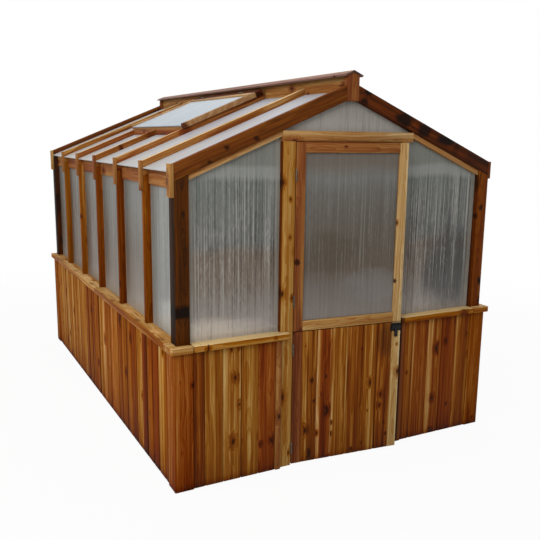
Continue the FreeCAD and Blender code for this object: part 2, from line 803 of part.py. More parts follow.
def make_latch():
    """Write the latch plate and the turning handle with its spindle and tongue."""
    plate_front = door_face - latch_plate_thickness
    plate_x = (latch_x - latch_plate_width / 2, latch_x + latch_plate_width / 2)
    plate_z = (latch_z - latch_plate_height / 2, latch_z + latch_plate_height / 2)
    plate = box(plate_x, (plate_front, door_face), plate_z)
    hole_start = (latch_x, plate_front, latch_z)
    hole = cylinder(spindle_radius + running_gap, latch_plate_thickness, hole_start, (0, 1, 0))
    plate = plate.cut(hole)
    hub_back = plate_front - knuckle_end_gap
    hub_front = hub_back - latch_hub_length
    tongue_front = door_back + door_stop_thickness + door_stop_gap
    tongue_back = tongue_front + tongue_thickness
    handle = cylinder(latch_hub_radius, latch_hub_length, (latch_x, hub_front, latch_z), (0, 1, 0))
    spindle_length = tongue_back - hub_back
    spindle = cylinder(spindle_radius, spindle_length, (latch_x, hub_back, latch_z), (0, 1, 0))
    handle = handle.fuse(spindle)
    bar_x = (latch_x - latch_bar_width / 2, latch_x + latch_bar_width / 2)
    bar_y = (hub_front, hub_front + latch_bar_thickness)
    handle = handle.fuse(box(bar_x, bar_y, (latch_z - latch_bar_length, latch_z)))
    cross_x = (latch_x - latch_cross_width / 2, latch_x + latch_cross_width / 2)
    cross_z = (latch_z - latch_cross_height / 2, latch_z + latch_cross_height / 2)
    handle = handle.fuse(box(cross_x, bar_y, cross_z))
    tongue_x = (latch_x - tongue_width / 2, latch_x + tongue_width / 2)
    handle = handle.fuse(box(tongue_x, (tongue_front, tongue_back), (latch_z - tongue_length, latch_z)))
    export("latch_plate", [ajar(plate)])
    export("latch_handle", [ajar(handle.removeSplitter())])


def make_leaf_bolt():
    """Write the bolt that ties the leaves together, with its barrel and keeper."""
    axis_y = leaf_back + barrel_depth / 2
    block_x = (bolt_offset - barrel_width / 2, bolt_offset + barrel_width / 2)
    block_y = (leaf_back, leaf_back + barrel_depth)
    barrel_top = lower_leaf_top - barrel_drop
    barrel_bottom = barrel_top - barrel_height
    keeper_bottom = upper_leaf_bottom + leaf_meeting_gap / 2
    barrel = box(block_x, block_y, (barrel_bottom, barrel_top))
    bore = cylinder(bolt_radius + running_gap, barrel_height, (bolt_offset, axis_y, barrel_bottom), (0, 0, 1))
    barrel = barrel.cut(bore)
    keeper = box(block_x, block_y, (keeper_bottom, keeper_bottom + keeper_height))
    eye = cylinder(bolt_radius + keeper_gap, keeper_height, (bolt_offset, axis_y, keeper_bottom), (0, 0, 1))
    keeper = keeper.cut(eye)
    rod_top = lower_leaf_top - bolt_rest_drop
    rod_bottom = barrel_bottom - bolt_throw - knob_gap - bolt_knob_height
    rod = cylinder(bolt_radius, rod_top - rod_bottom, (bolt_offset, axis_y, rod_bottom), (0, 0, 1))
    knob = cylinder(bolt_knob_radius, bolt_knob_height, (bolt_offset, axis_y, rod_bottom), (0, 0, 1))
    export("bolt_barrel", [ajar(barrel)])
    export("bolt_keeper", [ajar(keeper)])
    export("bolt_rod", [ajar(rod.fuse(knob).removeSplitter())])


def make_vent():
    """Write the vent head, the sash with its pane, and the prop bar."""
    outer = (vent_low_y - vent_rail_width, vent_high_y + vent_rail_width)
    inner = (vent_low_y, vent_high_y)
    head_along = (vent_head_start, vent_head_start + vent_head_width)
    head = slope_box(head_along, (-vent_head_height, 0), outer)
    rail_depths = (-vent_head_height, -vent_rest_gap)
    ledge_top = -vent_rest_gap - vent_ledge_height
    ledge_depths = (ledge_top, -vent_rest_gap)
    top_rail_end = vent_sash_start + vent_rail_width
    bottom_rail_start = vent_sash_end - vent_rail_width
    frame = [slope_box((vent_sash_start, vent_sash_end), rail_depths, (outer[0], inner[0]))]
    frame.append(slope_box((vent_sash_start, vent_sash_end), rail_depths, (inner[1], outer[1])))
    frame.append(slope_box((vent_sash_start, top_rail_end), rail_depths, inner))
    frame.append(slope_box((bottom_rail_start, vent_sash_end), ledge_depths, inner))
    ledge_along = (top_rail_end, bottom_rail_start)
    frame.append(slope_box(ledge_along, ledge_depths, (inner[0], inner[0] + vent_ledge_width)))
    frame.append(slope_box(ledge_along, ledge_depths, (inner[1] - vent_ledge_width, inner[1])))
    pane_along = (top_rail_end + pane_gap, vent_sash_end + vent_pane_lip)
    pane_y = (inner[0] + pane_gap, inner[1] - pane_gap)
    pane = slope_box(pane_along, (ledge_top - panel_thickness, ledge_top), pane_y)
    pivot_y = (inner[0] + inner[1]) / 2 - prop_pivot_offset
    pivot_depth = -vent_rest_gap - vent_ledge_height / 2
    prop_end = bottom_rail_start - prop_gap
    pin_x, pin_z = slope_point(bottom_rail_start, pivot_depth)
    up_slope = (roof_cosine, 0, roof_sine)
    pin_length = prop_gap + prop_thickness + prop_gap
    pin = cylinder(prop_pin_radius, pin_length, (pin_x, pivot_y, pin_z), up_slope)
    half = prop_width / 2
    prop_depths = (pivot_depth - half, pivot_depth + half)
    prop_y = (pivot_y - half, pivot_y - half + prop_length)
    prop = slope_box((prop_end - prop_thickness, prop_end), prop_depths, prop_y)
    prop = prop.cut(cylinder(prop_pin_radius + running_gap, pin_length, (pin_x, pivot_y, pin_z), up_slope))
    export("vent_head", [head])
    export("vent_frame", frame)
    export("vent_pane", [pane])
    export("vent_prop_pin", [pin])
    export("vent_prop", [prop])


os.makedirs("parts", exist_ok=True)
make_knee_frame()
make_boards()
make_sills()
make_uprights()
make_roof_frame()
make_ridge()
make_doorway()
make_wall_panels()
make_roof_panels()
make_upper_leaf()
make_lower_leaf()
make_hinges()
make_latch()
make_leaf_bolt()
make_vent()
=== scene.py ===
"""Visual model of a cedar greenhouse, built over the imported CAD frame.

Every timber is a bevelled copy of its CAD solid that carries its own grain
coordinates, so one procedural wood shader follows each board's length.
"""

import json
import logging
import math
import random
from dataclasses import dataclass, field
from enum import Enum

import bpy
from mathutils import Matrix, Vector

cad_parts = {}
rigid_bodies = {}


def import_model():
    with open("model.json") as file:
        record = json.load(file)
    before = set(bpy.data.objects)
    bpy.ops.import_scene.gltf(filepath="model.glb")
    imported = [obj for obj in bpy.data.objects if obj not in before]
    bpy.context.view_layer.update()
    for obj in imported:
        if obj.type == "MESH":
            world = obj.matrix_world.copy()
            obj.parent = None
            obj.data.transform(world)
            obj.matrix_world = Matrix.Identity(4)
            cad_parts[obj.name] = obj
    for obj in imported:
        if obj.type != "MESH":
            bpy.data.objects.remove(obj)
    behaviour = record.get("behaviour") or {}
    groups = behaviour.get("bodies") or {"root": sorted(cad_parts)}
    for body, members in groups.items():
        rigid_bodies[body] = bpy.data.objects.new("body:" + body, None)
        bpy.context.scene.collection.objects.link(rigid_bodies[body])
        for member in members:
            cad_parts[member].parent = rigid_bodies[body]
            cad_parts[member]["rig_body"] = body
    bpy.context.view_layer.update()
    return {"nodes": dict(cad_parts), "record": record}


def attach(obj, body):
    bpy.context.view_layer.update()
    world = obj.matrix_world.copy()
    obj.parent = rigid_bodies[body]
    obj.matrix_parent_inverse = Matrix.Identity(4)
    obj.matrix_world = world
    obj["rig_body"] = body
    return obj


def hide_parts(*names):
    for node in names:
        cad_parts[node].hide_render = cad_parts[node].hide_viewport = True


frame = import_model()

Colour = tuple[float, float, float]
Point = tuple[float, float, float]
Box = tuple[Vector, Vector]
Spot = tuple[Vector, Vector]
Shades = tuple[tuple[float, Colour], ...]
Socket = bpy.types.NodeSocket

UP: Point = (0.0, 0.0, 1.0)
FRONT: Point = (0.0, -1.0, 0.0)
LEFT: Point = (-1.0, 0.0, 0.0)
RIGHT: Point = (1.0, 0.0, 0.0)
QUARTER_TURN = Matrix.Rotation(math.radians(90.0), 4, "Z")

log = logging.getLogger("greenhouse")


class Axis(Enum):
    """Row axes used to lay out sheets and rows of boards."""

    X = 0
    Y = 1
    Z = 2


class Head(Enum):
    """Kinds of fastener head: radius and height in metres."""

    NAIL = (0.0028, 0.0008)
    SCREW = (0.0048, 0.0014)
    HINGE_SCREW = (0.0036, 0.00035)


def to_linear(value: int) -> float:
    """Turn one 8-bit display value into linear light."""
    share = value / 255
    return share / 12.92 if share <= 0.04045 else ((share + 0.055) / 1.055) ** 2.4


def srgb(red: int, green: int, blue: int) -> Colour:
    """Turn an 8-bit display colour into linear light."""
    return to_linear(red), to_linear(green), to_linear(blue)


def shades(*stops: tuple[float, int, int, int]) -> Shades:
    """Turn places with display colours into places with linear colours."""
    return tuple((place, srgb(*colour)) for place, *colour in stops)


# The mix node has a set of sockets for each kind of value, and these are the colour ones
MIX_INPUTS = (0, 6, 7)
MIX_OUTPUT = 2


class Graph:
    """Adds and links the shader nodes of one material."""

    def __init__(self, name: str) -> None:
        """Start an empty material.

        Args:
            name: Name of the material.
        """
        self.material = bpy.data.materials.new(name)
        self.material.use_nodes = True
        self.tree = self.material.node_tree
        self.tree.nodes.clear()

    def node(self, kind: str, inputs: tuple | dict = (), **settings: object) -> bpy.types.Node:
        """Add a node, set its plain properties and feed its inputs.

        Args:
            kind: Node type.
            inputs: Values in order, or by name or number.
            **settings: Properties of the node.

        Returns:
            The new node.
        """
        made = self.tree.nodes.new(kind)
        for key, value in settings.items():
            setattr(made, key, value)
        for key, value in inputs.items() if isinstance(inputs, dict) else enumerate(inputs):
            self.feed(made.inputs[key], value)
        return made

    def feed(self, socket: Socket, value: object) -> None:
        """Link a socket, or set its value.

        Args:
            socket: Input socket.
            value: Output socket, number or tuple.
        """
        if isinstance(value, Socket):
            self.tree.links.new(value, socket)
        elif isinstance(value, tuple) and len(value) == 3 and socket.type == "RGBA":
            socket.default_value = (*value, 1.0)
        else:
            socket.default_value = value

    def math(self, operation: str, *values: object) -> Socket:
        """Work out a number from up to three others."""
        return self.node("ShaderNodeMath", values, operation=operation).outputs[0]

    def vector(self, operation: str, *values: object) -> Socket:
        """Work out a vector from two others."""
        return self.node("ShaderNodeVectorMath", values, operation=operation).outputs[0]

    def length(self, vector: Socket) -> Socket:
        """Measure a vector."""
        return self.node("ShaderNodeVectorMath", (vector,), operation="LENGTH").outputs["Value"]

    def split(self, vector: Socket) -> tuple[Socket, ...]:
        """Split a vector into its three parts."""
        return tuple(self.node("ShaderNodeSeparateXYZ", (vector,)).outputs)

    def join(self, *parts: object) -> Socket:
        """Join three parts into a vector."""
        return self.node("ShaderNodeCombineXYZ", parts).outputs[0]

    def place(self) -> Socket:
        """Return the object coordinates."""
        return self.node("ShaderNodeTexCoord").outputs["Object"]

    def attribute(self, name: str, kind: str) -> Socket:
        """Read a mesh attribute as the named kind of output."""
        return self.node("ShaderNodeAttribute", attribute_name=name).outputs[kind]

    def swing(self, pattern: Socket, amount: float, start: object) -> Socket:
        """Add a pattern that swings about one half to a start value."""
        return self.math("MULTIPLY_ADD", self.math("SUBTRACT", pattern, 0.5), amount, start)

    def noise(self, vector: object, detail: float = 2.0, roughness: float = 0.5) -> Socket:
        """Draw noise of scale one, with so many octaves and such a weight on the finer ones."""
        values = {"Vector": vector, "Scale": 1.0, "Detail": detail, "Roughness": roughness}
        return self.node("ShaderNodeTexNoise", values).outputs[0]

    def smooth(self, value: object, low: object, high: object, start: float = 0.0,
               end: float = 1.0) -> Socket:
        """Step smoothly from start, where the value is low, to end, where it is high."""
        values = (value, low, high, start, end)
        return self.node("ShaderNodeMapRange", values, interpolation_type="SMOOTHSTEP").outputs[0]

    def mix(self, factor: object, first: object, second: object) -> Socket:
        """Mix two colours, with the factor as the share of the second."""
        values = dict(zip(MIX_INPUTS, (factor, first, second)))
        return self.node("ShaderNodeMix", values, data_type="RGBA").outputs[MIX_OUTPUT]

    def bump(self, height: object, distance: float, strength: float) -> Socket:
        """Tilt the surface by a height, whose unit is a distance in metres."""
        values = {"Height": height, "Distance": distance, "Strength": strength}
        return self.node("ShaderNodeBump", values).outputs[0]

    def ramp(self, value: object, stops: Shades) -> Socket:
        """Add a colour ramp.

        Args:
            value: Position along the ramp.
            stops: Positions and colours.

        Returns:
            The colour.
        """
        made = self.node("ShaderNodeValToRGB", (value,))
        elements = made.color_ramp.elements
        while len(elements) < len(stops):
            elements.new(0.5)
        for element, (place, colour) in zip(elements, stops):
            element.position = place
            element.color = (*colour, 1.0)
        return made.outputs[0]

    def finish(self, values: dict[str, object]) -> bpy.types.Material:
        """Close the graph with a principled shader.

        Args:
            values: Shader inputs by name.

        Returns:
            The material.
        """
        shader = self.node("ShaderNodeBsdfPrincipled", values)
        self.node("ShaderNodeOutputMaterial", (shader.outputs[0],))
        return self.material


@dataclass(frozen=True)
class Pattern:
    """A noise pattern: how fast it changes along each axis, and how fine it gets."""

    scale: Point
    detail: float = 2.0
    roughness: float = 0.5

    def draw(self, graph: Graph, place: Socket) -> Socket:
        """Draw the pattern over some coordinates."""
        stretched = graph.vector("MULTIPLY", place, self.scale)
        return graph.noise(stretched, self.detail, self.roughness)


PATCH_NOISE = (3.0, 0.6)
PATCH_RAGGED = 1.2
PATCH_EDGES = (0.5, 1.2)


@dataclass(frozen=True)
class Patch:
    """A soft ragged spot of another colour at one place on the house."""

    place: Point
    radius: Point
    colour: Colour
    amount: float

    def paint(self, graph: Graph, colour: object) -> Socket:
        """Lay the spot over a colour.

        Args:
            graph: Graph to add to.
            colour: Colour so far.

        Returns:
            The colour with the spot.
        """
        here = graph.place()
        away = graph.vector("DIVIDE", graph.vector("SUBTRACT", here, self.place), self.radius)
        ragged = graph.noise(graph.vector("DIVIDE", here, self.radius), *PATCH_NOISE)
        distance = graph.swing(ragged, PATCH_RAGGED, graph.length(away))
        share = graph.smooth(distance, *PATCH_EDGES, self.amount, 0.0)
        return graph.mix(share, colour, self.colour)


# Cedar: all timbers share one ramp from dark heartwood to pale sapwood
CEDAR_RAMP = shades(
    (0.00, 18, 9, 4), (0.18, 60, 25, 4), (0.36, 97, 41, 4), (0.50, 123, 64, 11),
    (0.62, 147, 94, 33), (0.76, 174, 134, 78), (0.92, 206, 178, 130))
KNOT_COLOUR = srgb(42, 17, 5)
STAIN_COLOUR = srgb(15, 9, 6)

# Cedar: patterns along the grain, and how far each moves a timber's tone
STREAKS = Pattern((1.3, 95.0, 95.0), 4.0, 0.6)
BANDS = Pattern((0.4, 24.0, 24.0))
FIBRES = Pattern((12.0, 520.0, 520.0), 2.0, 0.6)
BLOTS = Pattern((2.6, 9.0, 9.0), 3.0, 0.6)
WANDER = Pattern((1.6, 7.0, 7.0))
KNOT_WOBBLE = Pattern((40.0, 60.0, 60.0))
STREAK_SWING = 0.62
BAND_SWING = 0.62
FIBRE_SWING = 0.12
RING_SWING = -0.09
ACROSS_GRAIN = (0.0, 1.0, 1.0)
RING_PITCH = 0.0042
RING_POWER = 3.0
SAP_RAGGED = 0.26
SAP_SOFTNESS = 0.08
SAP_LIFT = 0.18
STAIN_EDGES = (0.57, 0.67)
FIBRE_RELIEF = 0.5
RING_RELIEF = -0.4
WOOD_BUMP = (0.0008, 0.5)
WOOD_ROUGHNESS = (0.25, 0.48)

# Cedar: knots, measured in cells of the knot pattern
KNOT_CELLS = (4.6, 8.0, 0.0)
KNOT_POWER = 2.5
KNOT_RADIUS = (0.085, 0.035)
KNOT_RAGGED = 0.05
KNOT_CORE = (0.35, 1.2)
KNOT_STRENGTH = 0.9
KNOT_HALO = (0.8, 3.6)
HALO_SHADE = -0.17
HALO_PUSH = 0.012

# Cedar: darkening towards the bottom, by height in metres, and painted shade and light, by place
# across a board and by the way a face turns
BOTTOM_DARK_RAGGED = 0.25
BOTTOM_DARK_LEVELS = (0.08, 0.42)
FOOT_RAGGED = 0.05
FOOT_LEVELS = (0.0, 0.09)
FOOT_SHARE = 3.0
SEAM_EDGE = 0.97
SEAM_HIGHLIGHT_EDGES = (-0.97, -0.90)
SEAM_HIGHLIGHT_SHARE = 0.4
LEFT_TURN = (-0.9, -0.5)
UP_TURN = (0.4, 0.8)


@dataclass(frozen=True)
class CedarFinish:
    """Oiled cedar: every timber finds its own tone on one ramp from dark to pale."""

    name: str
    contrast: float = 1.0
    knot_share: float = 0.42
    stain: float = 0.0
    # Next: painted shade on left faces, darkening towards the bottom, painted shade and highlight
    # at board edges with their width, painted light on upward faces
    side_shade: float = 0.0
    bottom_dark: float = 0.0
    seam_shade: float = 0.0
    seam_width: float = 0.07
    top_light: float = 0.0
    knot_size: float = 1.0
    saturation: float = 1.0
    sway: float = 0.05
    gloss: float = 0.05
    patches: tuple[Patch, ...] = ()

    def build(self) -> bpy.types.Material:
        """Build the material from the grain coordinates that each piece carries.

        Returns:
            The wood material.
        """
        graph = Graph(self.name)
        grain = graph.attribute("grain", "Vector")
        tone, sap_edge, across = graph.split(graph.attribute("look", "Vector"))
        knot, halo = self.knots(graph, grain)
        bent = self.bend(graph, grain, halo)
        streak, fibre = STREAKS.draw(graph, bent), FIBRES.draw(graph, bent)
        ring = self.rings(graph, bent)
        shade = graph.swing(streak, STREAK_SWING * self.contrast, tone)
        shade = graph.swing(BANDS.draw(graph, bent), BAND_SWING * self.contrast, shade)
        shade = graph.swing(fibre, FIBRE_SWING, shade)
        shade = graph.swing(ring, RING_SWING, shade)
        side = graph.swing(streak, SAP_RAGGED, across)
        low, high = (graph.math(way, sap_edge, SAP_SOFTNESS) for way in ("SUBTRACT", "ADD"))
        shade = graph.math("ADD", shade, graph.smooth(side, low, high, 0.0, SAP_LIFT))
        shade = graph.math("MULTIPLY_ADD", halo, HALO_SHADE, shade)
        shade = self.paint_shade_and_light(graph, shade, streak, across)
        hue = graph.node("ShaderNodeHueSaturation", {
            "Hue": graph.attribute("tint", "Fac"),
            "Saturation": self.saturation,
            "Color": graph.ramp(shade, CEDAR_RAMP),
        })
        colour = graph.mix(knot, hue.outputs[0], KNOT_COLOUR)
        if self.stain > 0:
            blot = graph.smooth(BLOTS.draw(graph, grain), *STAIN_EDGES, 0.0, self.stain)
            colour = graph.mix(blot, colour, STAIN_COLOUR)
        for patch in self.patches:
            colour = patch.paint(graph, colour)
        height = graph.math("MULTIPLY_ADD", fibre, FIBRE_RELIEF, streak)
        height = graph.math("MULTIPLY_ADD", ring, RING_RELIEF, height)
        return graph.finish({
            "Base Color": colour,
            "Roughness": graph.math("MULTIPLY_ADD", streak, *WOOD_ROUGHNESS),
            "Normal": graph.bump(height, *WOOD_BUMP),
            "Specular IOR Level": self.gloss,
        })

    def paint_shade_and_light(self, graph: Graph, shade: Socket, streak: Socket, across: Socket) -> Socket:
        """Darken towards the bottom and paint shade and light: shade and highlight at board edges,
        shade on left faces, light on upward faces.

        Args:
            graph: Graph to add to.
            shade: Place on the ramp so far.
            streak: Streak pattern.
            across: Place across the timber from minus one to one.

        Returns:
            The changed place on the ramp.
        """
        here = graph.node("ShaderNodeTexCoord")
        height = graph.split(here.outputs["Object"])[Axis.Z.value]
        sideways, _, upwards = graph.split(here.outputs["Normal"])
        changes = []
        # Darker towards the bottom, and darker still at the foot
        if self.bottom_dark > 0:
            level = graph.math("MULTIPLY_ADD", streak, BOTTOM_DARK_RAGGED, height)
            changes.append(graph.smooth(level, *BOTTOM_DARK_LEVELS, -self.bottom_dark, 0.0))
            foot = graph.math("MULTIPLY_ADD", streak, FOOT_RAGGED, height)
            changes.append(graph.smooth(foot, *FOOT_LEVELS, -FOOT_SHARE * self.bottom_dark, 0.0))
        # Painted shade along one edge of each board, in the joint, and a painted highlight along
        # the other edge, as on a lit chamfer
        if self.seam_shade > 0:
            start = SEAM_EDGE - self.seam_width
            changes.append(graph.smooth(across, start, SEAM_EDGE, 0.0, -self.seam_shade))
            changes.append(graph.smooth(across, *SEAM_HIGHLIGHT_EDGES, SEAM_HIGHLIGHT_SHARE * self.seam_shade, 0.0))
        # Painted shade on faces that turn to the left
        if self.side_shade > 0:
            changes.append(graph.smooth(sideways, *LEFT_TURN, -self.side_shade, 0.0))
        # Painted light on faces that turn upwards, as if lit from above
        if self.top_light > 0:
            changes.append(graph.smooth(upwards, *UP_TURN, 0.0, self.top_light))
        for change in changes:
            shade = graph.math("ADD", shade, change)
        return shade

    def bend(self, graph: Graph, grain: Socket, halo: Socket) -> Socket:
        """Let the grain wander and flow round the knots.

        Args:
            graph: Graph to add to.
            grain: Grain coordinates.
            halo: Mask around the knots.

        Returns:
            The bent grain coordinates.
        """
        wander = graph.math("SUBTRACT", WANDER.draw(graph, grain), 0.5)
        wander = graph.math("MULTIPLY", wander, self.sway)
        sideways = graph.math("MULTIPLY_ADD", halo, HALO_PUSH, wander)
        return graph.vector("ADD", grain, graph.join(0.0, sideways, sideways))

    def rings(self, graph: Graph, bent: Socket) -> Socket:
        """Add the growth rings round a pith that lies outside the timber.

        Args:
            graph: Graph to add to.
            bent: Bent grain coordinates.

        Returns:
            Zero in the early wood, rising to one in the late wood.
        """
        from_pith = graph.length(graph.vector("MULTIPLY", bent, ACROSS_GRAIN))
        turn = graph.math("FRACT", graph.math("DIVIDE", from_pith, RING_PITCH))
        return graph.math("POWER", turn, RING_POWER)

    def knots(self, graph: Graph, grain: Socket) -> tuple[Socket, Socket]:
        """Add the knots.

        Args:
            graph: Graph to add to.
            grain: Grain coordinates.

        Returns:
            The knot mask and the wider halo around it.
        """
        values = {"Vector": graph.vector("MULTIPLY", grain, KNOT_CELLS), "Scale": 1.0}
        cells = graph.node("ShaderNodeTexVoronoi", values, voronoi_dimensions="2D")
        chance = graph.node("ShaderNodeSeparateColor", (cells.outputs["Color"],))
        present = graph.math("LESS_THAN", chance.outputs[0], self.knot_share)
        size = graph.math("POWER", chance.outputs[1], KNOT_POWER)
        growth, least = (part * self.knot_size for part in KNOT_RADIUS)
        radius = graph.math("MULTIPLY_ADD", size, growth, least)
        wobble = KNOT_WOBBLE.draw(graph, grain)
        distance = graph.swing(wobble, KNOT_RAGGED, cells.outputs["Distance"])
        masks = []
        for edges, strength in ((KNOT_CORE, KNOT_STRENGTH), (KNOT_HALO, 1.0)):
            near, far = (graph.math("MULTIPLY", radius, edge) for edge in edges)
            mask = graph.smooth(distance, near, far, strength, 0.0)
            masks.append(graph.math("MULTIPLY", mask, present))
        return tuple(masks)


# Sheets: flutes, condensation runs and the pale rims beside the timbers
FLUTE_PITCH = 0.0107
WEB_WIDTH = 0.16
WEB_SHARE = 0.16
BRIGHT_RUN = srgb(152, 154, 149)
DARK_RUN = srgb(64, 62, 58)
RIM_COLOUR = srgb(168, 160, 146)
RIM_WIDTH = (0.006, 0.026)
RIM_SHARE = 0.42
CLOUDS = Pattern((1.7, 1.7, 2.6))
CLOUD_LIFT = 0.14
WET_PLACES = Pattern((3.1, 3.1, 2.1), 1.0)
WET_EDGES = (0.36, 0.62)
DRY_SHARE = 0.6
BRIGHT_EDGES = (0.50, 0.62)
DARK_EDGES = (0.38, 0.50)
RUN_RISE = 0.4
RUN_FADE = 0.08
RUN_REST = (0.5, 0.2)
DROP_SCALES = (40.0, 120.0, 24.0)
DROP_NOISE = (2.0, 0.6)
DROP_SHARE = 0.22
SHEET_BUMP = (0.0003, 0.4)
SHEET_ROUGHNESS = (0.25, 0.25)
SHEET_GLOSS = 0.3
CLEAR_EDGES = (0.30, 0.75)
CLEAR_SHARE = 0.04

# Sheets: pitch of each kind of run, its stretch along the flutes and its weight
RUN_KINDS = ((0.0067, 0.9, 0.54), (0.017, 0.7, 0.24))
RUN_NOISE = (2.0, 0.55)
RUN_STEP = 5.17
RUN_SEED = 31.0


@dataclass(frozen=True)
class SheetFinish:
    """Translucent twin-wall sheet: hazy, with flutes and condensation runs along one axis."""

    name: str
    across: Axis
    along: Axis
    height_colours: Shades
    runs_from: float
    runs_to: float
    run_depth: float
    bright_run: Colour = BRIGHT_RUN
    dark_run: Colour = DARK_RUN
    alpha: float = 0.83
    rims: tuple[float, ...] = ()
    patches: tuple[Patch, ...] = ()

    def build(self) -> bpy.types.Material:
        """Build the sheet material from object coordinates.

        Returns:
            The sheet material.
        """
        graph = Graph(self.name)
        place = graph.place()
        parts = graph.split(place)
        across, along = parts[self.across.value], parts[self.along.value]
        height = parts[Axis.Z.value]
        cloud = CLOUDS.draw(graph, place)
        colour = self.clouded(graph, graph.swing(cloud, CLOUD_LIFT, height))
        for patch in self.patches:
            colour = patch.paint(graph, colour)
        flute = graph.math("DIVIDE", across, FLUTE_PITCH)
        mark = self.marks(graph, place, flute, along)
        depth = self.wetness(graph, place, height)
        bright = graph.math("MULTIPLY", graph.smooth(mark, *BRIGHT_EDGES), depth)
        colour = graph.mix(bright, colour, self.bright_run)
        dark = graph.math("MULTIPLY", graph.smooth(mark, *DARK_EDGES, 1.0, 0.0), depth)
        colour = graph.mix(dark, colour, self.dark_run)
        for rim in self.rims:
            reach = graph.math("ABSOLUTE", graph.math("SUBTRACT", across, rim))
            colour = graph.mix(graph.smooth(reach, *RIM_WIDTH, RIM_SHARE, 0.0), colour, RIM_COLOUR)
        web = graph.math("PINGPONG", flute, 0.5)
        web_line = graph.smooth(web, 0.0, WEB_WIDTH, WEB_SHARE, 0.0)
        low, high = self.alpha - CLEAR_SHARE, self.alpha + CLEAR_SHARE
        return graph.finish({
            "Base Color": graph.mix(web_line, colour, self.dark_run),
            "Roughness": graph.math("MULTIPLY_ADD", cloud, *SHEET_ROUGHNESS),
            "Normal": graph.bump(graph.math("ADD", web, mark), *SHEET_BUMP),
            "Alpha": graph.smooth(mark, *CLEAR_EDGES, low, high),
            "Specular IOR Level": SHEET_GLOSS,
        })

    def clouded(self, graph: Graph, level: Socket) -> Socket:
        """Colour the sheet by height.

        Args:
            graph: Graph to add to.
            level: Height, with the clouds added.

        Returns:
            The colour.
        """
        low, high = self.height_colours[0][0], self.height_colours[-1][0]
        share = graph.math("DIVIDE", graph.math("SUBTRACT", level, low), high - low)
        stops = tuple(((stop - low) / (high - low), colour) for stop, colour in self.height_colours)
        return graph.ramp(share, stops)

    def wetness(self, graph: Graph, place: Socket, height: Socket) -> Socket:
        """Find how strongly the condensation shows.

        Args:
            graph: Graph to add to.
            place: Object coordinates.
            height: Height above the ground.

        Returns:
            The strength of the runs.
        """
        foot, top = RUN_REST
        depth = graph.smooth(height, self.runs_from, self.runs_from + RUN_RISE,
                             foot * self.run_depth, self.run_depth)
        fade = graph.smooth(height, self.runs_to, self.runs_to + RUN_FADE, 1.0, top)
        depth = graph.math("MULTIPLY", depth, fade)
        wet = graph.smooth(WET_PLACES.draw(graph, place), *WET_EDGES, DRY_SHARE, 1.0)
        return graph.math("MULTIPLY", depth, wet)

    def marks(self, graph: Graph, place: Socket, flute: Socket, along: Socket) -> Socket:
        """Add the condensation: every flute holds its own run of drops.

        Args:
            graph: Graph to add to.
            place: Object coordinates.
            flute: Place across the sheet, counted in flutes.
            along: Place along the flutes.

        Returns:
            About one half, higher where the sheet is milky and lower where it has run clear.
        """
        through_scale, across_scale, along_scale = DROP_SCALES
        scales = [through_scale] * 3
        scales[self.across.value], scales[self.along.value] = across_scale, along_scale
        drops = Pattern(tuple(scales), *DROP_NOISE).draw(graph, place)
        mark = graph.math("MULTIPLY", drops, DROP_SHARE)
        for pitch, stretch, weight in RUN_KINDS:
            cell = graph.math("FLOOR", graph.math("MULTIPLY", flute, FLUTE_PITCH / pitch))
            chance = graph.node("ShaderNodeTexWhiteNoise", {"W": cell}, noise_dimensions="1D")
            parts = ((cell, RUN_STEP), (along, stretch), (chance.outputs["Value"], RUN_SEED))
            spot = graph.join(*(graph.math("MULTIPLY", part, scale) for part, scale in parts))
            mark = graph.math("MULTIPLY_ADD", graph.noise(spot, *RUN_NOISE), weight, mark)
        return mark


# Metal: worn blotches and fine grit
METAL_BLOTS = Pattern((90.0, 90.0, 90.0), 3.0, 0.6)
METAL_GRIT = Pattern((900.0, 900.0, 900.0))
WORN_EDGES = (0.45, 0.75)
METAL_BUMP = (0.0002, 0.3)
METAL_SCATTER = 0.2


@dataclass(frozen=True)
class MetalFinish:
    """Metal with faint blotches, such as zinc plate or black coating."""

    name: str
    base: Colour
    worn: Colour
    metallic: float
    roughness: float = 0.5
    specular: float = 0.5

    def build(self) -> bpy.types.Material:
        """Build the metal material from object coordinates.

        Returns:
            The metal material.
        """
        graph = Graph(self.name)
        place = graph.place()
        blot = METAL_BLOTS.draw(graph, place)
        return graph.finish({
            "Base Color": graph.mix(graph.smooth(blot, *WORN_EDGES), self.base, self.worn),
            "Metallic": self.metallic,
            "Roughness": graph.math("MULTIPLY_ADD", blot, METAL_SCATTER, self.roughness),
            "Normal": graph.bump(METAL_GRIT.draw(graph, place), *METAL_BUMP),
            "Specular IOR Level": self.specular,
        })


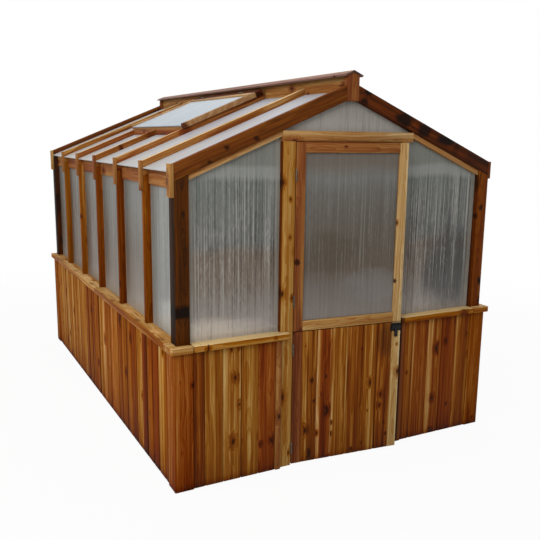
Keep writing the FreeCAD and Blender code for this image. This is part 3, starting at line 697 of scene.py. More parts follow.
# Finishes of the timber, each with its amounts of painted shade and light
POST_PATCHES = (
    Patch((-1.15, -1.80, 1.125), (0.14, 0.14, 0.045), STAIN_COLOUR, 0.95),
    Patch((1.178, -1.80, 1.12), (0.022, 0.05, 0.032), STAIN_COLOUR, 0.95),
    Patch((1.14, -1.80, 1.66), (0.022, 0.05, 0.026), STAIN_COLOUR, 0.85),
)
TRIM_PATCHES = (
    # Painted shadow of the ajar door down the right trim beside the door, then two knots
    Patch((0.444, -1.82, 0.45), (0.016, 0.1, 1.6), srgb(30, 12, 8), 0.9),
    Patch((0.34, -1.88, 1.20), (0.014, 0.05, 0.018), KNOT_COLOUR, 0.9),
    Patch((-0.385, -1.81, 1.37), (0.022, 0.05, 0.026), KNOT_COLOUR, 0.95),
)
SILL_PATCHES = (
    # Painted shade on the front sill's end beside the latch
    Patch((0.436, -1.85, 0.905), (0.03, 0.03, 0.05), srgb(52, 24, 12), 0.8),
    # Dark marks along the left side sill, painted reflections of the studs in the wet sill top,
    # with pale patches between them
    *(Patch((-1.222, along, 0.925), (0.022, 0.05, 0.02), srgb(92, 50, 24), 0.6)
      for along in (-1.62, -1.13, -0.50, 0.16, 0.78, 1.40)),
    *(Patch((-1.20, along, 0.925), (0.03, 0.07, 0.02), srgb(205, 158, 104), 0.5)
      for along in (-1.45, -0.86, -0.22, 0.44, 1.10, 1.58)),
)
RAFTER_PATCHES = (
    Patch((0.42, -1.80, 2.27), (0.09, 0.2, 0.05), STAIN_COLOUR, 0.9),
    Patch((0.58, -1.80, 2.20), (0.06, 0.2, 0.06), STAIN_COLOUR, 0.9),
    Patch((0.78, -1.80, 2.14), (0.09, 0.2, 0.05), STAIN_COLOUR, 0.95),
    Patch((-0.675, -1.80, 2.133), (0.024, 0.05, 0.018), KNOT_COLOUR, 0.9),
    Patch((-0.868, -1.80, 2.079), (0.020, 0.05, 0.016), KNOT_COLOUR, 0.9),
    Patch((-0.973, -1.80, 1.995), (0.020, 0.05, 0.016), KNOT_COLOUR, 0.8),
)
SASH_PATCHES = (Patch((-0.70, -0.645, 2.205), (0.05, 0.05, 0.05), srgb(70, 28, 16), 0.9),)
LATCH_PATCHES = (Patch((0.30, -1.87, 0.80), (0.07, 0.1, 0.15), srgb(36, 18, 8), 0.5),)
BOARDS = CedarFinish("cedar_boards", bottom_dark=0.075, seam_shade=0.17, sway=0.035)
SIDE_BOARDS = CedarFinish("cedar_side_boards", 0.95, 0.36, bottom_dark=0.10, seam_shade=0.24, seam_width=0.30,
                          saturation=1.03, sway=0.03, gloss=0.012)
DOOR_BOARDS = CedarFinish("cedar_door_boards", 1.35, 0.75, bottom_dark=0.06, seam_shade=0.14, knot_size=0.8,
                          sway=0.03, patches=LATCH_PATCHES)
CORNERS = CedarFinish("cedar_corners", 0.85, 0.36, bottom_dark=0.075, seam_shade=0.16, gloss=0.012)
TRIM = CedarFinish("cedar_trim", 0.8, 0.36, saturation=0.94, patches=TRIM_PATCHES)
SILL = CedarFinish("cedar_sill", 1.1, 0.6, top_light=0.17, patches=SILL_PATCHES)
FRONT_SILL = CedarFinish("cedar_front_sill", 1.1, 0.6, top_light=0.38, saturation=1.04,
                         patches=SILL_PATCHES)
FRAMING = CedarFinish("cedar_framing", 0.85, 0.30, top_light=0.10, saturation=0.94)
STUD = CedarFinish("cedar_stud", 0.85, 0.30, gloss=0.012)
RAFTER = CedarFinish("cedar_rafter", 0.95, 0.36, top_light=0.28, saturation=0.96, gloss=0.03)
SASH = CedarFinish("cedar_sash", 0.5, 0.0, top_light=0.06, saturation=0.85, patches=SASH_PATCHES)
CAP = CedarFinish("cedar_cap", 0.7, 0.1, top_light=0.06, saturation=0.6)
WEATHERED = CedarFinish("cedar_weathered", 0.9, 0.5, stain=0.42, knot_size=0.6, saturation=0.98,
                        patches=RAFTER_PATCHES)
POST = CedarFinish("cedar_post", 0.6, 0.5, stain=0.6, side_shade=0.16, patches=POST_PATCHES)
JAMB = CedarFinish("cedar_jamb", 0.8, 0.9, side_shade=0.34, knot_size=1.2)

# Finishes of the sheets
# Colours of the sheets by height: the milky sheet, and on the walls and door, painted shade of the
# dim inside seen through it, darkest part way up
FRONT_HAZE_AND_SHADE = shades(
    (0.92, 167, 160, 153), (1.00, 157, 148, 142), (1.10, 144, 136, 129), (1.24, 128, 116, 105),
    (1.42, 118, 103, 89), (1.50, 113, 113, 109), (1.87, 114, 117, 112), (1.905, 144, 146, 142),
    (1.955, 143, 145, 139), (1.985, 123, 124, 117), (2.10, 125, 125, 117))
SIDE_HAZE_AND_SHADE = shades(
    (0.92, 160, 150, 138), (1.08, 121, 108, 95), (1.35, 102, 92, 81), (1.70, 106, 106, 100),
    (1.90, 116, 112, 104))
GABLE_HAZE = shades((2.05, 170, 164, 153), (2.20, 166, 162, 154), (2.38, 142, 137, 127))
DOOR_HAZE_AND_SHADE = shades(
    (0.98, 130, 122, 115), (1.16, 113, 104, 97), (1.30, 95, 82, 70), (1.55, 95, 87, 76),
    (1.80, 103, 99, 93), (1.90, 115, 113, 108), (1.98, 107, 98, 88))
ROOF_HAZE = shades((1.95, 168, 168, 166), (2.20, 170, 168, 172), (2.45, 176, 178, 184))
VENT_HAZE = shades((2.15, 152, 160, 170), (2.30, 164, 174, 182), (2.45, 178, 188, 194))
FRONT_PATCHES = (
    Patch((-1.02, -1.79, 0.95), (0.42, 1.0, 0.11), srgb(206, 194, 178), 0.7),
    # Painted shade over the right front sheet
    Patch((0.88, -1.79, 1.26), (0.24, 1.0, 0.36), srgb(54, 58, 59), 0.75),
    Patch((0.56, -1.79, 1.35), (0.10, 1.0, 0.40), srgb(98, 84, 72), 0.45),
)
SIDE_PATCHES = (
    Patch((-1.13, -1.60, 1.45), (1.0, 0.42, 0.9), srgb(136, 138, 134), 0.85),
    Patch((-1.13, -1.62, 1.02), (1.0, 0.26, 0.13), srgb(188, 186, 178), 0.6),
    Patch((-1.13, 1.00, 1.25), (1.0, 1.10, 0.55), srgb(90, 70, 56), 0.55),
)
DOOR_PATCHES = (
    Patch((-0.18, -1.83, 1.42), (0.26, 1.0, 0.14), srgb(82, 70, 57), 0.6),
    Patch((0.18, -1.85, 1.17), (0.24, 1.0, 0.12), srgb(128, 124, 120), 0.5),
)
BAY_WIDTH = 0.61
HALF_STUD = 0.02
SIDE_RIMS = tuple(side * (HALF_STUD + BAY_WIDTH * bay) for bay in range(3) for side in (-1, 1))
FRONT_RIMS = (-1.085, -0.507, 0.46, 1.085)
SIDE_SHEET = SheetFinish("sheet_side", Axis.Y, Axis.Z, SIDE_HAZE_AND_SHADE, 0.95, 1.90, 0.55,
                         rims=SIDE_RIMS, patches=SIDE_PATCHES)
FRONT_SHEET = SheetFinish("sheet_front", Axis.X, Axis.Z, FRONT_HAZE_AND_SHADE, 0.95, 1.86, 0.82,
                          srgb(166, 164, 157), srgb(55, 53, 49),
                          rims=FRONT_RIMS, patches=FRONT_PATCHES)
GABLE_SHEET = SheetFinish("sheet_gable", Axis.X, Axis.Z, GABLE_HAZE, 1.5, 2.5, 0.3)
DOOR_SHEET = SheetFinish("sheet_door", Axis.X, Axis.Z, DOOR_HAZE_AND_SHADE, 1.0, 1.90, 0.28,
                         patches=DOOR_PATCHES)
ROOF_SHEET = SheetFinish("sheet_roof", Axis.Y, Axis.X, ROOF_HAZE, 1.5, 2.6, 0.4,
                         srgb(198, 198, 200), srgb(142, 140, 140), 0.87)
VENT_SHEET = SheetFinish("sheet_vent", Axis.Y, Axis.X, VENT_HAZE, 1.5, 2.6, 0.4,
                         srgb(200, 204, 208), srgb(136, 144, 152), 0.87)

# Finishes of the metal
ZINC = MetalFinish("zinc_plate", srgb(98, 90, 80), srgb(62, 55, 47), 1.0)
NAIL_STEEL = MetalFinish("nail_steel", srgb(78, 70, 62), srgb(50, 42, 35), 0.8)
BLACK = MetalFinish("black_coat", srgb(9, 9, 9), srgb(22, 20, 19), 0.0, specular=0.18)


class Palette:
    """Builds each finish once and hands out its material."""

    def __init__(self) -> None:
        """Start with no materials."""
        self.made: dict[str, bpy.types.Material] = {}

    def dress(self, piece: bpy.types.Object,
              finish: CedarFinish | SheetFinish | MetalFinish) -> None:
        """Give a piece the material of a finish and no other.

        Args:
            piece: Piece to dress.
            finish: Its finish.
        """
        if finish.name not in self.made:
            self.made[finish.name] = finish.build()
        piece.data.materials.clear()
        piece.data.materials.append(self.made[finish.name])


def body_of(node: str) -> str:
    """Return the body that carries a CAD node."""
    return frame["nodes"][node]["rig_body"]


def slot_of(node: str) -> str:
    """Return the record's material slot of a CAD node."""
    parts = frame["record"]["subparts"]
    return next(part["material_slot"] for part in parts if part["node"] == node)


def edit(piece: bpy.types.Object) -> None:
    """Select one object alone and enter edit mode with all of it selected.

    Args:
        piece: Object to edit.
    """
    bpy.ops.object.select_all(action="DESELECT")
    piece.select_set(True)
    bpy.context.view_layer.objects.active = piece
    bpy.ops.object.mode_set(mode="EDIT")
    bpy.ops.mesh.select_all(action="SELECT")


NO_SAP = 2.0
ROW_REACH = 0.045


@dataclass(frozen=True)
class Accent:
    """The look of the timber at one place, where it isn't left to chance."""

    place: Point
    tone: float
    tint: float = 0.0
    sap: float = NO_SAP
    reach: float = 0.35
    side: float = 1.0


def accent_row(start: Point, step: Point, *looks: tuple[float, ...]) -> tuple[Accent, ...]:
    """Set the looks of a row of timbers one by one.

    Args:
        start: Middle of the first timber.
        step: From one timber to the next.
        *looks: Tone of each, then tint and sapwood edge where it has them.

    Returns:
        One accent per timber.
    """
    places = [Vector(start) + number * Vector(step) for number in range(len(looks))]
    return tuple(Accent(tuple(place), *look, reach=ROW_REACH, side=-1.0)
                 for place, look in zip(places, looks))


# Timbers whose look is set one by one
BAY: Point = (0.0, BAY_WIDTH, 0.0)
SIDE_BOARD_STEP: Point = (0.0, 0.1163, 0.0)
POST_LOOKS = (
    Accent((-1.15, -1.76, 1.4), 0.20, 0.010),
    Accent((1.15, -1.76, 1.4), 0.37, 0.002),
    Accent((-1.15, 1.76, 1.4), 0.13, 0.004),
)
UPPER_STILE_LOOKS = (Accent((0.37, -1.87, 1.5), 0.72, 0.004), Accent((-0.37, -1.81, 1.5), 0.48))
LOWER_STILE_LOOKS = (Accent((0.37, -1.87, 0.5), 0.70, 0.008), Accent((-0.37, -1.81, 0.5), 0.38))
UPPER_RAIL_LOOKS = (Accent((0.0, -1.84, 2.05), 0.53), Accent((0.0, -1.84, 0.95), 0.59, 0.005))
STUD_LOOKS = accent_row((-1.149, -1.219, 1.427), BAY,
                        (0.36, 0.002), (0.31,), (0.38,), (0.47, 0.002), (0.47, 0.006))
END_CAP_LOOKS = (
    *accent_row((-1.204, -1.219, 1.893), BAY,
                (0.52, 0.004), (0.55, 0.002), (0.52,), (0.55, 0.003), (0.56, 0.003)),
    Accent((1.204, -1.769, 1.927), 0.30, reach=0.1),
)
FRONT_BOARD_LOOKS = (
    *accent_row((-0.594, -1.812, 0.446), (-0.1213, 0.0, 0.0),
                (0.45, -0.007), (0.53, 0.006), (0.57, 0.004, 0.8), (0.52, 0.005), (0.36,)),
    *accent_row((0.635, -1.812, 0.446), (0.1323, 0.0, 0.0),
                (0.46, -0.004, 0.85), (0.45, -0.003, 0.3), (0.39, -0.006), (0.46, 0.0, 0.85)),
    Accent((0.526, -1.812, 0.446), 0.44, reach=0.04),
)
SIDE_BOARD_LOOKS = (
    *accent_row((-1.202, -1.650, 0.446), SIDE_BOARD_STEP,
                (0.42, -0.004), (0.60, 0.0, 0.8), (0.38, -0.008), (0.47, -0.006),
                (0.35, -0.007), (0.60, 0.0, 0.7), (0.40, -0.005), (0.54, -0.004, 0.8)),
    *accent_row((-1.202, 0.061, 0.446), SIDE_BOARD_STEP,
                (0.46, -0.004), (0.42, -0.003), (0.48, -0.004), (0.45, -0.003),
                (0.57, -0.001, 0.8), (0.51, -0.002), (0.60, -0.001, 0.7), (0.53, -0.003),
                (0.62,), (0.55, -0.002), (0.63, 0.0, 0.8), (0.55, -0.002),
                (0.61,), (0.56, -0.002, 0.8)),
)
CORNER_LOOKS = (
    Accent((1.158, -1.816, 0.446), 0.43, -0.002, reach=0.05),
    Accent((-1.206, -1.756, 0.446), 0.52, -0.008, reach=0.04),
)
GABLE_RAFTER_LOOKS = (
    Accent((0.619, -1.785, 2.179), 0.20, 0.001),
    Accent((-0.619, -1.785, 2.179), 0.32, 0.008),
)
SASH_LOOKS = (
    Accent((-0.4, -0.63, 2.33), 0.66, 0.012, reach=0.2),
    Accent((-0.68, 0.0, 2.21), 0.42, reach=0.1),
)
DOOR_BOARD_LOOKS = (
    *accent_row((-0.168, -1.818, 0.46), (0.1122, -0.0108, 0.0),
                (0.48, -0.006, 0.9), (0.51, 0.004, 0.75), (0.45, 0.002), (0.49, 0.004, 0.85),
                (0.38,)),
    Accent((-0.280, -1.807, 0.46), 0.46, 0.004, 0.25, ROW_REACH),
)
JAMB_TRIM_LOOKS = (
    Accent((0.464, -1.817, 0.446), 0.41, reach=0.06),
    Accent((-0.514, -1.817, 0.446), 0.53, 0.003, reach=0.06),
)
SIDE_SILL_LOOKS = (
    Accent((-1.174, -0.855, 0.906), 0.51),
    Accent((-1.174, 0.855, 0.906), 0.52, -0.002),
)
FRONT_SILL_LOOKS = (Accent((-0.774, -1.784, 0.906), 0.58), Accent((0.765, -1.784, 0.906), 0.52))

# How a copy of a solid is merged, bevelled and smoothed
MERGE_REACH = 0.00002
FLAT_ANGLE = math.radians(1.0)
SHARP_ANGLE = math.radians(25)
SMOOTH_ANGLE = math.radians(40)
BEVEL_SEGMENTS = 2

# What a timber carries for its finish, and the spans that chance draws from
GRAIN_LAYERS = {"grain": "FLOAT_VECTOR", "look": "FLOAT_VECTOR", "tint": "FLOAT"}
GRAIN_STARTS = ((0, 400), (-0.03, 0.03), (0.03, 0.12))
SAP_EDGES = (0.3, 0.85)
TINT_SPREAD = 0.006
PLAIN_HUE = 0.5
SQUARE_LIMIT = 0.2


@dataclass
class Timber:
    """One loose timber of a mesh: its vertex numbers and the steps along its edges."""

    members: list[int] = field(default_factory=list)
    steps: list[Vector] = field(default_factory=list)

    def axes(self) -> tuple[Vector, Vector, Vector]:
        """Find the length, width and thickness directions.

        Returns:
            Unit vectors along, across and through the timber.
        """
        steps = sorted(self.steps, key=lambda step: -step.length)
        along = steps[0].normalized()
        square = next(step for step in steps if abs(step.normalized().dot(along)) < SQUARE_LIMIT)
        across = square - along * square.dot(along)
        across.normalize()
        return along, across, along.cross(across)


def root_of(parents: list[int], index: int) -> int:
    """Follow a vertex to the one that stands for its whole timber.

    Args:
        parents: Next vertex on the way, for each vertex.
        index: Vertex to start from.

    Returns:
        The vertex that stands for the timber.
    """
    while parents[index] != index:
        parents[index] = parents[parents[index]]
        index = parents[index]
    return index


def loose_timbers(mesh: bpy.types.Mesh) -> list[Timber]:
    """Split a mesh into its loose timbers.

    Args:
        mesh: Mesh to split.

    Returns:
        The timbers, in the order of their first vertices.
    """
    parents = list(range(len(mesh.vertices)))
    for edge in mesh.edges:
        first, second = (root_of(parents, index) for index in edge.vertices)
        parents[first] = second
    timbers: dict[int, Timber] = {}
    for index in range(len(parents)):
        timbers.setdefault(root_of(parents, index), Timber()).members.append(index)
    for edge in mesh.edges:
        first, second = edge.vertices
        step = mesh.vertices[second].co - mesh.vertices[first].co
        timbers[root_of(parents, first)].steps.append(step)
    return list(timbers.values())


@dataclass
class DressedNode:
    """A bevelled copy of a CAD node that stands for it."""

    node: str
    finish: CedarFinish | MetalFinish
    bevel: float = 0.0016
    tone: float = 0.5
    spread: float = 0.08
    sap_share: float = 0.0
    tint: float = 0.0
    accents: tuple[Accent, ...] = ()
    boxes: list[Box] = field(default_factory=list)

    def build(self, palette: Palette) -> None:
        """Make the copy, bevel it and give it its material.

        Args:
            palette: Source of materials.
        """
        mesh = frame["nodes"][self.node].data.copy()
        piece = bpy.data.objects.new(self.node + "_dressed", mesh)
        bpy.context.scene.collection.objects.link(piece)
        edit(piece)
        bpy.ops.mesh.remove_doubles(threshold=MERGE_REACH)
        bpy.ops.mesh.dissolve_limited(angle_limit=FLAT_ANGLE)
        bpy.ops.mesh.select_all(action="DESELECT")
        bpy.ops.mesh.edges_select_sharp(sharpness=SHARP_ANGLE)
        bpy.ops.mesh.bevel(offset=self.bevel, segments=BEVEL_SEGMENTS, affect="EDGES",
                           clamp_overlap=True)
        bpy.ops.object.mode_set(mode="OBJECT")
        bpy.ops.object.shade_smooth_by_angle(angle=SMOOTH_ANGLE)
        if isinstance(self.finish, CedarFinish):
            self.write_grain(mesh)
        palette.dress(piece, self.finish)
        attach(piece, body_of(self.node))
        slot_of(self.node)
        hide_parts(self.node)
        log.info("dressed %s with %d faces", self.node, len(mesh.polygons))

    def write_grain(self, mesh: bpy.types.Mesh) -> None:
        """Give each loose timber its own grain coordinates, tone and sapwood edge.

        Args:
            mesh: Mesh to write to.
        """
        chance = random.Random(self.node)
        for name, kind in GRAIN_LAYERS.items():
            mesh.attributes.new(name, kind, "POINT")
        grain, look, hue = (mesh.attributes[name] for name in GRAIN_LAYERS)
        for timber in loose_timbers(mesh):
            axes = timber.axes()
            points = [mesh.vertices[index].co for index in timber.members]
            centre = sum(points, Vector()) / len(points)
            start = Vector([chance.uniform(*span) for span in GRAIN_STARTS])
            accent = self.look_at(centre, self.drawn_look(chance))
            low, high = (Vector([pick(part) for part in zip(*points)]) for pick in (min, max))
            self.boxes.append((low, high))
            half = max(abs((point - centre).dot(axes[1])) for point in points)
            for index, point in zip(timber.members, points):
                local = Vector([(point - centre).dot(axis) for axis in axes])
                grain.data[index].vector = local + start
                look.data[index].vector = (accent.tone, accent.sap, accent.side * local.y / half)
                hue.data[index].value = PLAIN_HUE + accent.tint

    def drawn_look(self, chance: random.Random) -> Accent:
        """Draw a timber's look by chance.

        Args:
            chance: Source of the draws.

        Returns:
            The look, for no place of its own.
        """
        tone = self.tone + chance.uniform(-self.spread, self.spread)
        tint = self.tint + chance.uniform(-1.0, 1.0) * TINT_SPREAD
        sap = chance.uniform(*SAP_EDGES) if chance.random() < self.sap_share else NO_SAP
        return Accent((0.0, 0.0, 0.0), tone, tint, sap, side=chance.choice((-1.0, 1.0)))

    def look_at(self, centre: Vector, drawn: Accent) -> Accent:
        """Choose the look of the timber at one place.

        Args:
            centre: Middle of the timber.
            drawn: Look drawn by chance.

        Returns:
            The first accent within reach, or else the drawn look.
        """
        for accent in self.accents:
            if (Vector(accent.place) - centre).length < accent.reach:
                return accent
        return drawn


@dataclass
class CopySet:
    """A small shape that is modelled once, copied to many places and rides one body."""

    name: str
    body: str

    def spread(self, pattern: bpy.types.Object, places: list[Matrix]) -> bpy.types.Object:
        """Copy a pattern to every place, join the copies and remove the pattern.

        Args:
            pattern: Shape to copy.
            places: Where each copy goes.

        Returns:
            The joined piece.
        """
        copies = []
        for place in places:
            copy = bpy.data.objects.new(self.name, pattern.data.copy())
            bpy.context.scene.collection.objects.link(copy)
            copy.data.transform(place)
            copies.append(copy)
        bpy.data.objects.remove(pattern)
        bpy.ops.object.select_all(action="DESELECT")
        for copy in copies:
            copy.select_set(True)
        joined = copies[0]
        bpy.context.view_layer.objects.active = joined
        bpy.ops.object.join()
        joined.name = self.name
        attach(joined, self.body)
        return joined


@dataclass
class TongueSet(CopySet):
    """Tongues that close the joints between neighbouring boards."""

    places: list[Matrix]
    height: float
    slot: str = "cedar_boards"
    width: float = 0.012
    depth: float = 0.005
    bevel: float = 0.0012
    tone: float = 0.34

    def build(self, palette: Palette) -> None:
        """Model one tongue and spread it over the joints.

        Args:
            palette: Source of materials.
        """
        bpy.ops.mesh.primitive_cube_add(size=1.0, scale=(self.width, self.depth, self.height))
        pattern = bpy.context.object
        bpy.ops.object.transform_apply(location=False, rotation=False, scale=True)
        edit(pattern)
        bpy.ops.mesh.bevel(offset=self.bevel, segments=1, affect="EDGES")
        bpy.ops.object.mode_set(mode="OBJECT")
        joined = self.spread(pattern, self.places)
        DressedNode(self.name, FRAMING, tone=self.tone).write_grain(joined.data)
        palette.dress(joined, FRAMING)
        log.info("closed %d joints with %s", len(self.places), self.name)


# Fastener heads: sides, and steps inwards by radius and upwards by height
HEAD_SIDES = 12
HEAD_STEPS = ((0.22, 0.35), (0.35, 0.0), (0.05, -0.9))
HEAD_ANGLE = math.radians(35)
TOP_TURN = 0.9


@dataclass
class FastenerSet(CopySet):
    """Heads of one kind that ride one body as one piece."""

    finish: MetalFinish
    head: Head
    spots: list[Spot]
    slot: str = "zinc_steel"

    def build(self, palette: Palette) -> None:
        """Model one head, copy it to every spot and join the copies.

        Args:
            palette: Source of materials.
        """
        places = [Matrix.Translation(place)
                  @ Vector(UP).rotation_difference(outward).to_matrix().to_4x4()
                  for place, outward in self.spots]
        joined = self.spread(self.model_head(), places)
        palette.dress(joined, self.finish)
        bpy.ops.object.shade_smooth_by_angle(angle=HEAD_ANGLE)
        log.info("fastened %s with %d heads", self.name, len(self.spots))

    def model_head(self) -> bpy.types.Object:
        """Model one domed head, with a driver recess if it is a screw.

        Returns:
            The head, standing on the origin with its axis upwards.
        """
        radius, height = self.head.value
        bpy.ops.mesh.primitive_cylinder_add(vertices=HEAD_SIDES, radius=radius, depth=height * 2)
        piece = bpy.context.object
        edit(piece)
        bpy.ops.mesh.select_all(action="DESELECT")
        bpy.ops.mesh.select_mode(type="FACE")
        bpy.ops.object.mode_set(mode="OBJECT")
        for face in piece.data.polygons:
            face.select = face.normal.z > TOP_TURN
        bpy.ops.object.mode_set(mode="EDIT")
        for inwards, upwards in HEAD_STEPS[:1] if self.head is Head.NAIL else HEAD_STEPS:
            bpy.ops.mesh.inset(thickness=radius * inwards, depth=height * upwards)
        bpy.ops.object.mode_set(mode="OBJECT")
        return piece


def upright_spots(boxes: list[Box], from_end: float) -> list[Spot]:
    """Find nail spots near both ends of upright boards, on the face away from the house.

    Args:
        boxes: Boxes of the boards.
        from_end: Distance from the board's ends.

    Returns:
        Places and outward directions.
    """
    spots = []
    for low, high in boxes:
        middle, size = (low + high) / 2, high - low
        axis = Axis.X.value if size.x < size.y else Axis.Y.value
        outward = Vector()
        outward[axis] = math.copysign(1.0, middle[axis])
        for height in (low.z + from_end, high.z - from_end):
            place = middle + outward * size[axis] / 2
            place.z = height
            spots.append((place, outward))
    return spots


def row_spots(start: Point, end: Point, count: int, outward: Point) -> list[Spot]:
    """Spread spots evenly along a straight row, all facing outward."""
    return [(Vector(start).lerp(Vector(end), number / (count - 1)), Vector(outward))
            for number in range(count)]


JOINT_GAP = 0.004


def board_joints(boxes: list[Box]) -> list[Matrix]:
    """Find the narrow joints between neighbouring upright boards of the four walls.

    Args:
        boxes: Boxes of the boards.

    Returns:
        Place of each joint's middle, turned so that its own X axis runs across the joint.
    """
    places = []
    x, y = Axis.X.value, Axis.Y.value
    for thin, wide, turn in ((x, y, QUARTER_TURN), (y, x, Matrix())):
        for side in (-1.0, 1.0):
            row = [(low, high) for low, high in boxes
                   if low[thin] * side > 0.0 and (high - low)[thin] < (high - low)[wide]]
            row.sort(key=lambda box: box[0][wide])
            for left, right in zip(row, row[1:]):
                low, high = min((left, right), key=lambda box: box[1][thin] - box[0][thin])
                middle = (low + high) / 2
                middle[wide] = (left[1][wide] + right[0][wide]) / 2
                if right[0][wide] - left[1][wide] < JOINT_GAP:
                    places.append(Matrix.Translation(middle) @ turn)
    return places


WALL_BOARDS = ("side_boards", "front_boards", "rear_boards", "corner_boards", "jamb_trims")
DOOR_AXIS = Vector((-0.404, -1.8095, 0.0))
DOOR_AJAR = math.radians(5.5)


@dataclass
class Timberwork:
    """All the timber of the house and its two door leaves."""

    palette: Palette
    wall_tongue: float = 0.879
    leaf_tongue: float = 0.896
    sill_spline: float = 0.130
    sill_level: float = 0.906
    gable_sill_joint: tuple[float, float] = (1.100, 1.784)
    side_sill_joint: tuple[float, float] = (1.174, 1.710)

    def groups(self) -> list[DressedNode]:
        """List the timber nodes with their finishes.

        Returns:
            The nodes to dress.
        """
        return [
            DressedNode("side_boards", SIDE_BOARDS, tone=0.535, spread=0.12, sap_share=0.3,
                        tint=-0.005, accents=SIDE_BOARD_LOOKS),
            DressedNode("front_boards", BOARDS, tone=0.46, spread=0.09,
                        accents=FRONT_BOARD_LOOKS),
            DressedNode("rear_boards", BOARDS, tone=0.50, spread=0.10, sap_share=0.34),
            DressedNode("lower_door_boards", DOOR_BOARDS, accents=DOOR_BOARD_LOOKS),
            DressedNode("corner_boards", CORNERS, tone=0.53, spread=0.02, tint=-0.002,
                        accents=CORNER_LOOKS),
            DressedNode("jamb_trims", TRIM, accents=JAMB_TRIM_LOOKS),
            DressedNode("base_rails", FRAMING, tone=0.46),
            DressedNode("knee_top_rails", FRAMING, tone=0.48),
            DressedNode("knee_studs", FRAMING, tone=0.48),
            DressedNode("side_sills", SILL, bevel=0.003, tone=0.52, spread=0.05,
                        accents=SIDE_SILL_LOOKS),
            DressedNode("front_sills", FRONT_SILL, bevel=0.003, accents=FRONT_SILL_LOOKS),
            DressedNode("rear_sill", SILL, bevel=0.003, tone=0.53, spread=0.05),
            DressedNode("corner_caps", SILL, bevel=0.003, tone=0.58, spread=0.04),
            DressedNode("corner_posts", POST, bevel=0.002, tone=0.36, accents=POST_LOOKS),
            DressedNode("side_studs", STUD, tone=0.44, spread=0.10, sap_share=0.1,
                        accents=STUD_LOOKS),
            DressedNode("rear_studs", FRAMING, tone=0.46),
            DressedNode("king_posts", FRAMING, tone=0.48),
            DressedNode("rafters", RAFTER, tone=0.51, spread=0.06),
            DressedNode("gable_rafters", WEATHERED, bevel=0.002, tone=0.30, spread=0.03,
                        tint=0.008, accents=GABLE_RAFTER_LOOKS),
            DressedNode("rafter_end_caps", TRIM, bevel=0.001, tone=0.65, spread=0.05,
                        tint=0.009, accents=END_CAP_LOOKS),
            DressedNode("eave_rails", FRAMING, tone=0.49, spread=0.05),
            DressedNode("vent_trimmers", FRAMING, tone=0.48),
            DressedNode("ridge_beam", FRAMING, tone=0.57, spread=0.0),
            DressedNode("ridge_end_blocks", FRAMING, tone=0.46, spread=0.02, tint=-0.003),
            DressedNode("ridge_caps", CAP, tone=0.46, spread=0.04),
            DressedNode("door_jambs", JAMB, tone=0.63, spread=0.02, tint=0.004),
            DressedNode("door_header", TRIM, tone=0.635, spread=0.0),
            DressedNode("door_stops", FRAMING, tone=0.50),
            DressedNode("door_threshold", FRAMING, tone=0.46),
            DressedNode("gable_stops", TRIM, bevel=0.001, tone=0.59, spread=0.03, tint=-0.003),
            DressedNode("wall_battens", TRIM, bevel=0.001, tone=0.58),
            DressedNode("roof_battens", TRIM, bevel=0.001, tone=0.58),
            DressedNode("upper_door_stiles", TRIM, accents=UPPER_STILE_LOOKS),
            DressedNode("upper_door_rails", TRIM, accents=UPPER_RAIL_LOOKS),
            DressedNode("upper_door_beads", TRIM, bevel=0.001, tone=0.52),
            DressedNode("lower_door_stiles", TRIM, accents=LOWER_STILE_LOOKS),
            DressedNode("lower_door_rails", FRAMING, tone=0.48),
            # Near-black: a dark head rail with painted shade of its place under the ridge
            DressedNode("vent_head", WEATHERED, tone=0.12, spread=0.0),
            DressedNode("vent_frame", SASH, tone=0.60, accents=SASH_LOOKS),
        ]

    def build(self) -> dict[str, list[Box]]:
        """Dress every timber node.

        Returns:
            The boxes of the single timbers by node.
        """
        groups = self.groups()
        for group in groups:
            group.build(self.palette)
        boxes = {group.node: group.boxes for group in groups}
        self.add_tongues(boxes)
        return boxes

    def add_tongues(self, boxes: dict[str, list[Box]]) -> None:
        """Close the joints between boards of the walls and lower leaf, and between sills.

        Args:
            boxes: Boxes of the single timbers by node.
        """
        joints = board_joints([box for node in WALL_BOARDS for box in boxes[node]])
        TongueSet("wall_tongues", "frame", joints, self.wall_tongue).build(self.palette)
        turn = Matrix.Rotation(-DOOR_AJAR, 4, "Z")
        leaf = [(low + high) / 2 for low, high in boxes["lower_door_boards"]]
        leaf.sort(key=lambda middle: middle.x)
        joints = [Matrix.Translation(left.lerp(right, 0.5)) @ turn
                  for left, right in zip(leaf, leaf[1:])]
        TongueSet("leaf_tongues", "lower_door", joints, self.leaf_tongue).build(self.palette)
        joints = self.sill_joints()
        splines = TongueSet("sill_splines", "frame", joints, self.sill_spline, "cedar_sills")
        splines.build(self.palette)

    def sill_joints(self) -> list[Matrix]:
        """Find the joints between the sill pieces.

        Returns:
            Place of each joint's middle, turned so that its own Z axis lies along the joint.
        """
        lying = Matrix.Rotation(math.radians(-90.0), 4, "X")
        turned = QUARTER_TURN @ lying
        (gable_x, gable_y), (side_x, side_y) = self.gable_sill_joint, self.side_sill_joint
        places = []
        for side in (-1.0, 1.0):
            places += [Matrix.Translation((side * gable_x, along, self.sill_level)) @ lying
                       for along in (-gable_y, gable_y)]
            places += [Matrix.Translation((side * side_x, along, self.sill_level)) @ turned
                       for along in (-side_y, 0.0, side_y)]
        return places


SHEETS = {
    "wall_panels": SIDE_SHEET, "front_panels": FRONT_SHEET, "gable_pane": GABLE_SHEET,
    "rear_panels": FRONT_SHEET, "roof_panels": ROOF_SHEET, "vent_pane": VENT_SHEET,
    "upper_door_pane": DOOR_SHEET,
}


@dataclass
class Glazing:
    """All the twin-wall sheets, which keep their CAD shape."""

    palette: Palette

    def build(self) -> None:
        """Give each sheet node its material."""
        for node, finish in SHEETS.items():
            self.palette.dress(frame["nodes"][node], finish)
            log.info("glazed %s", node)


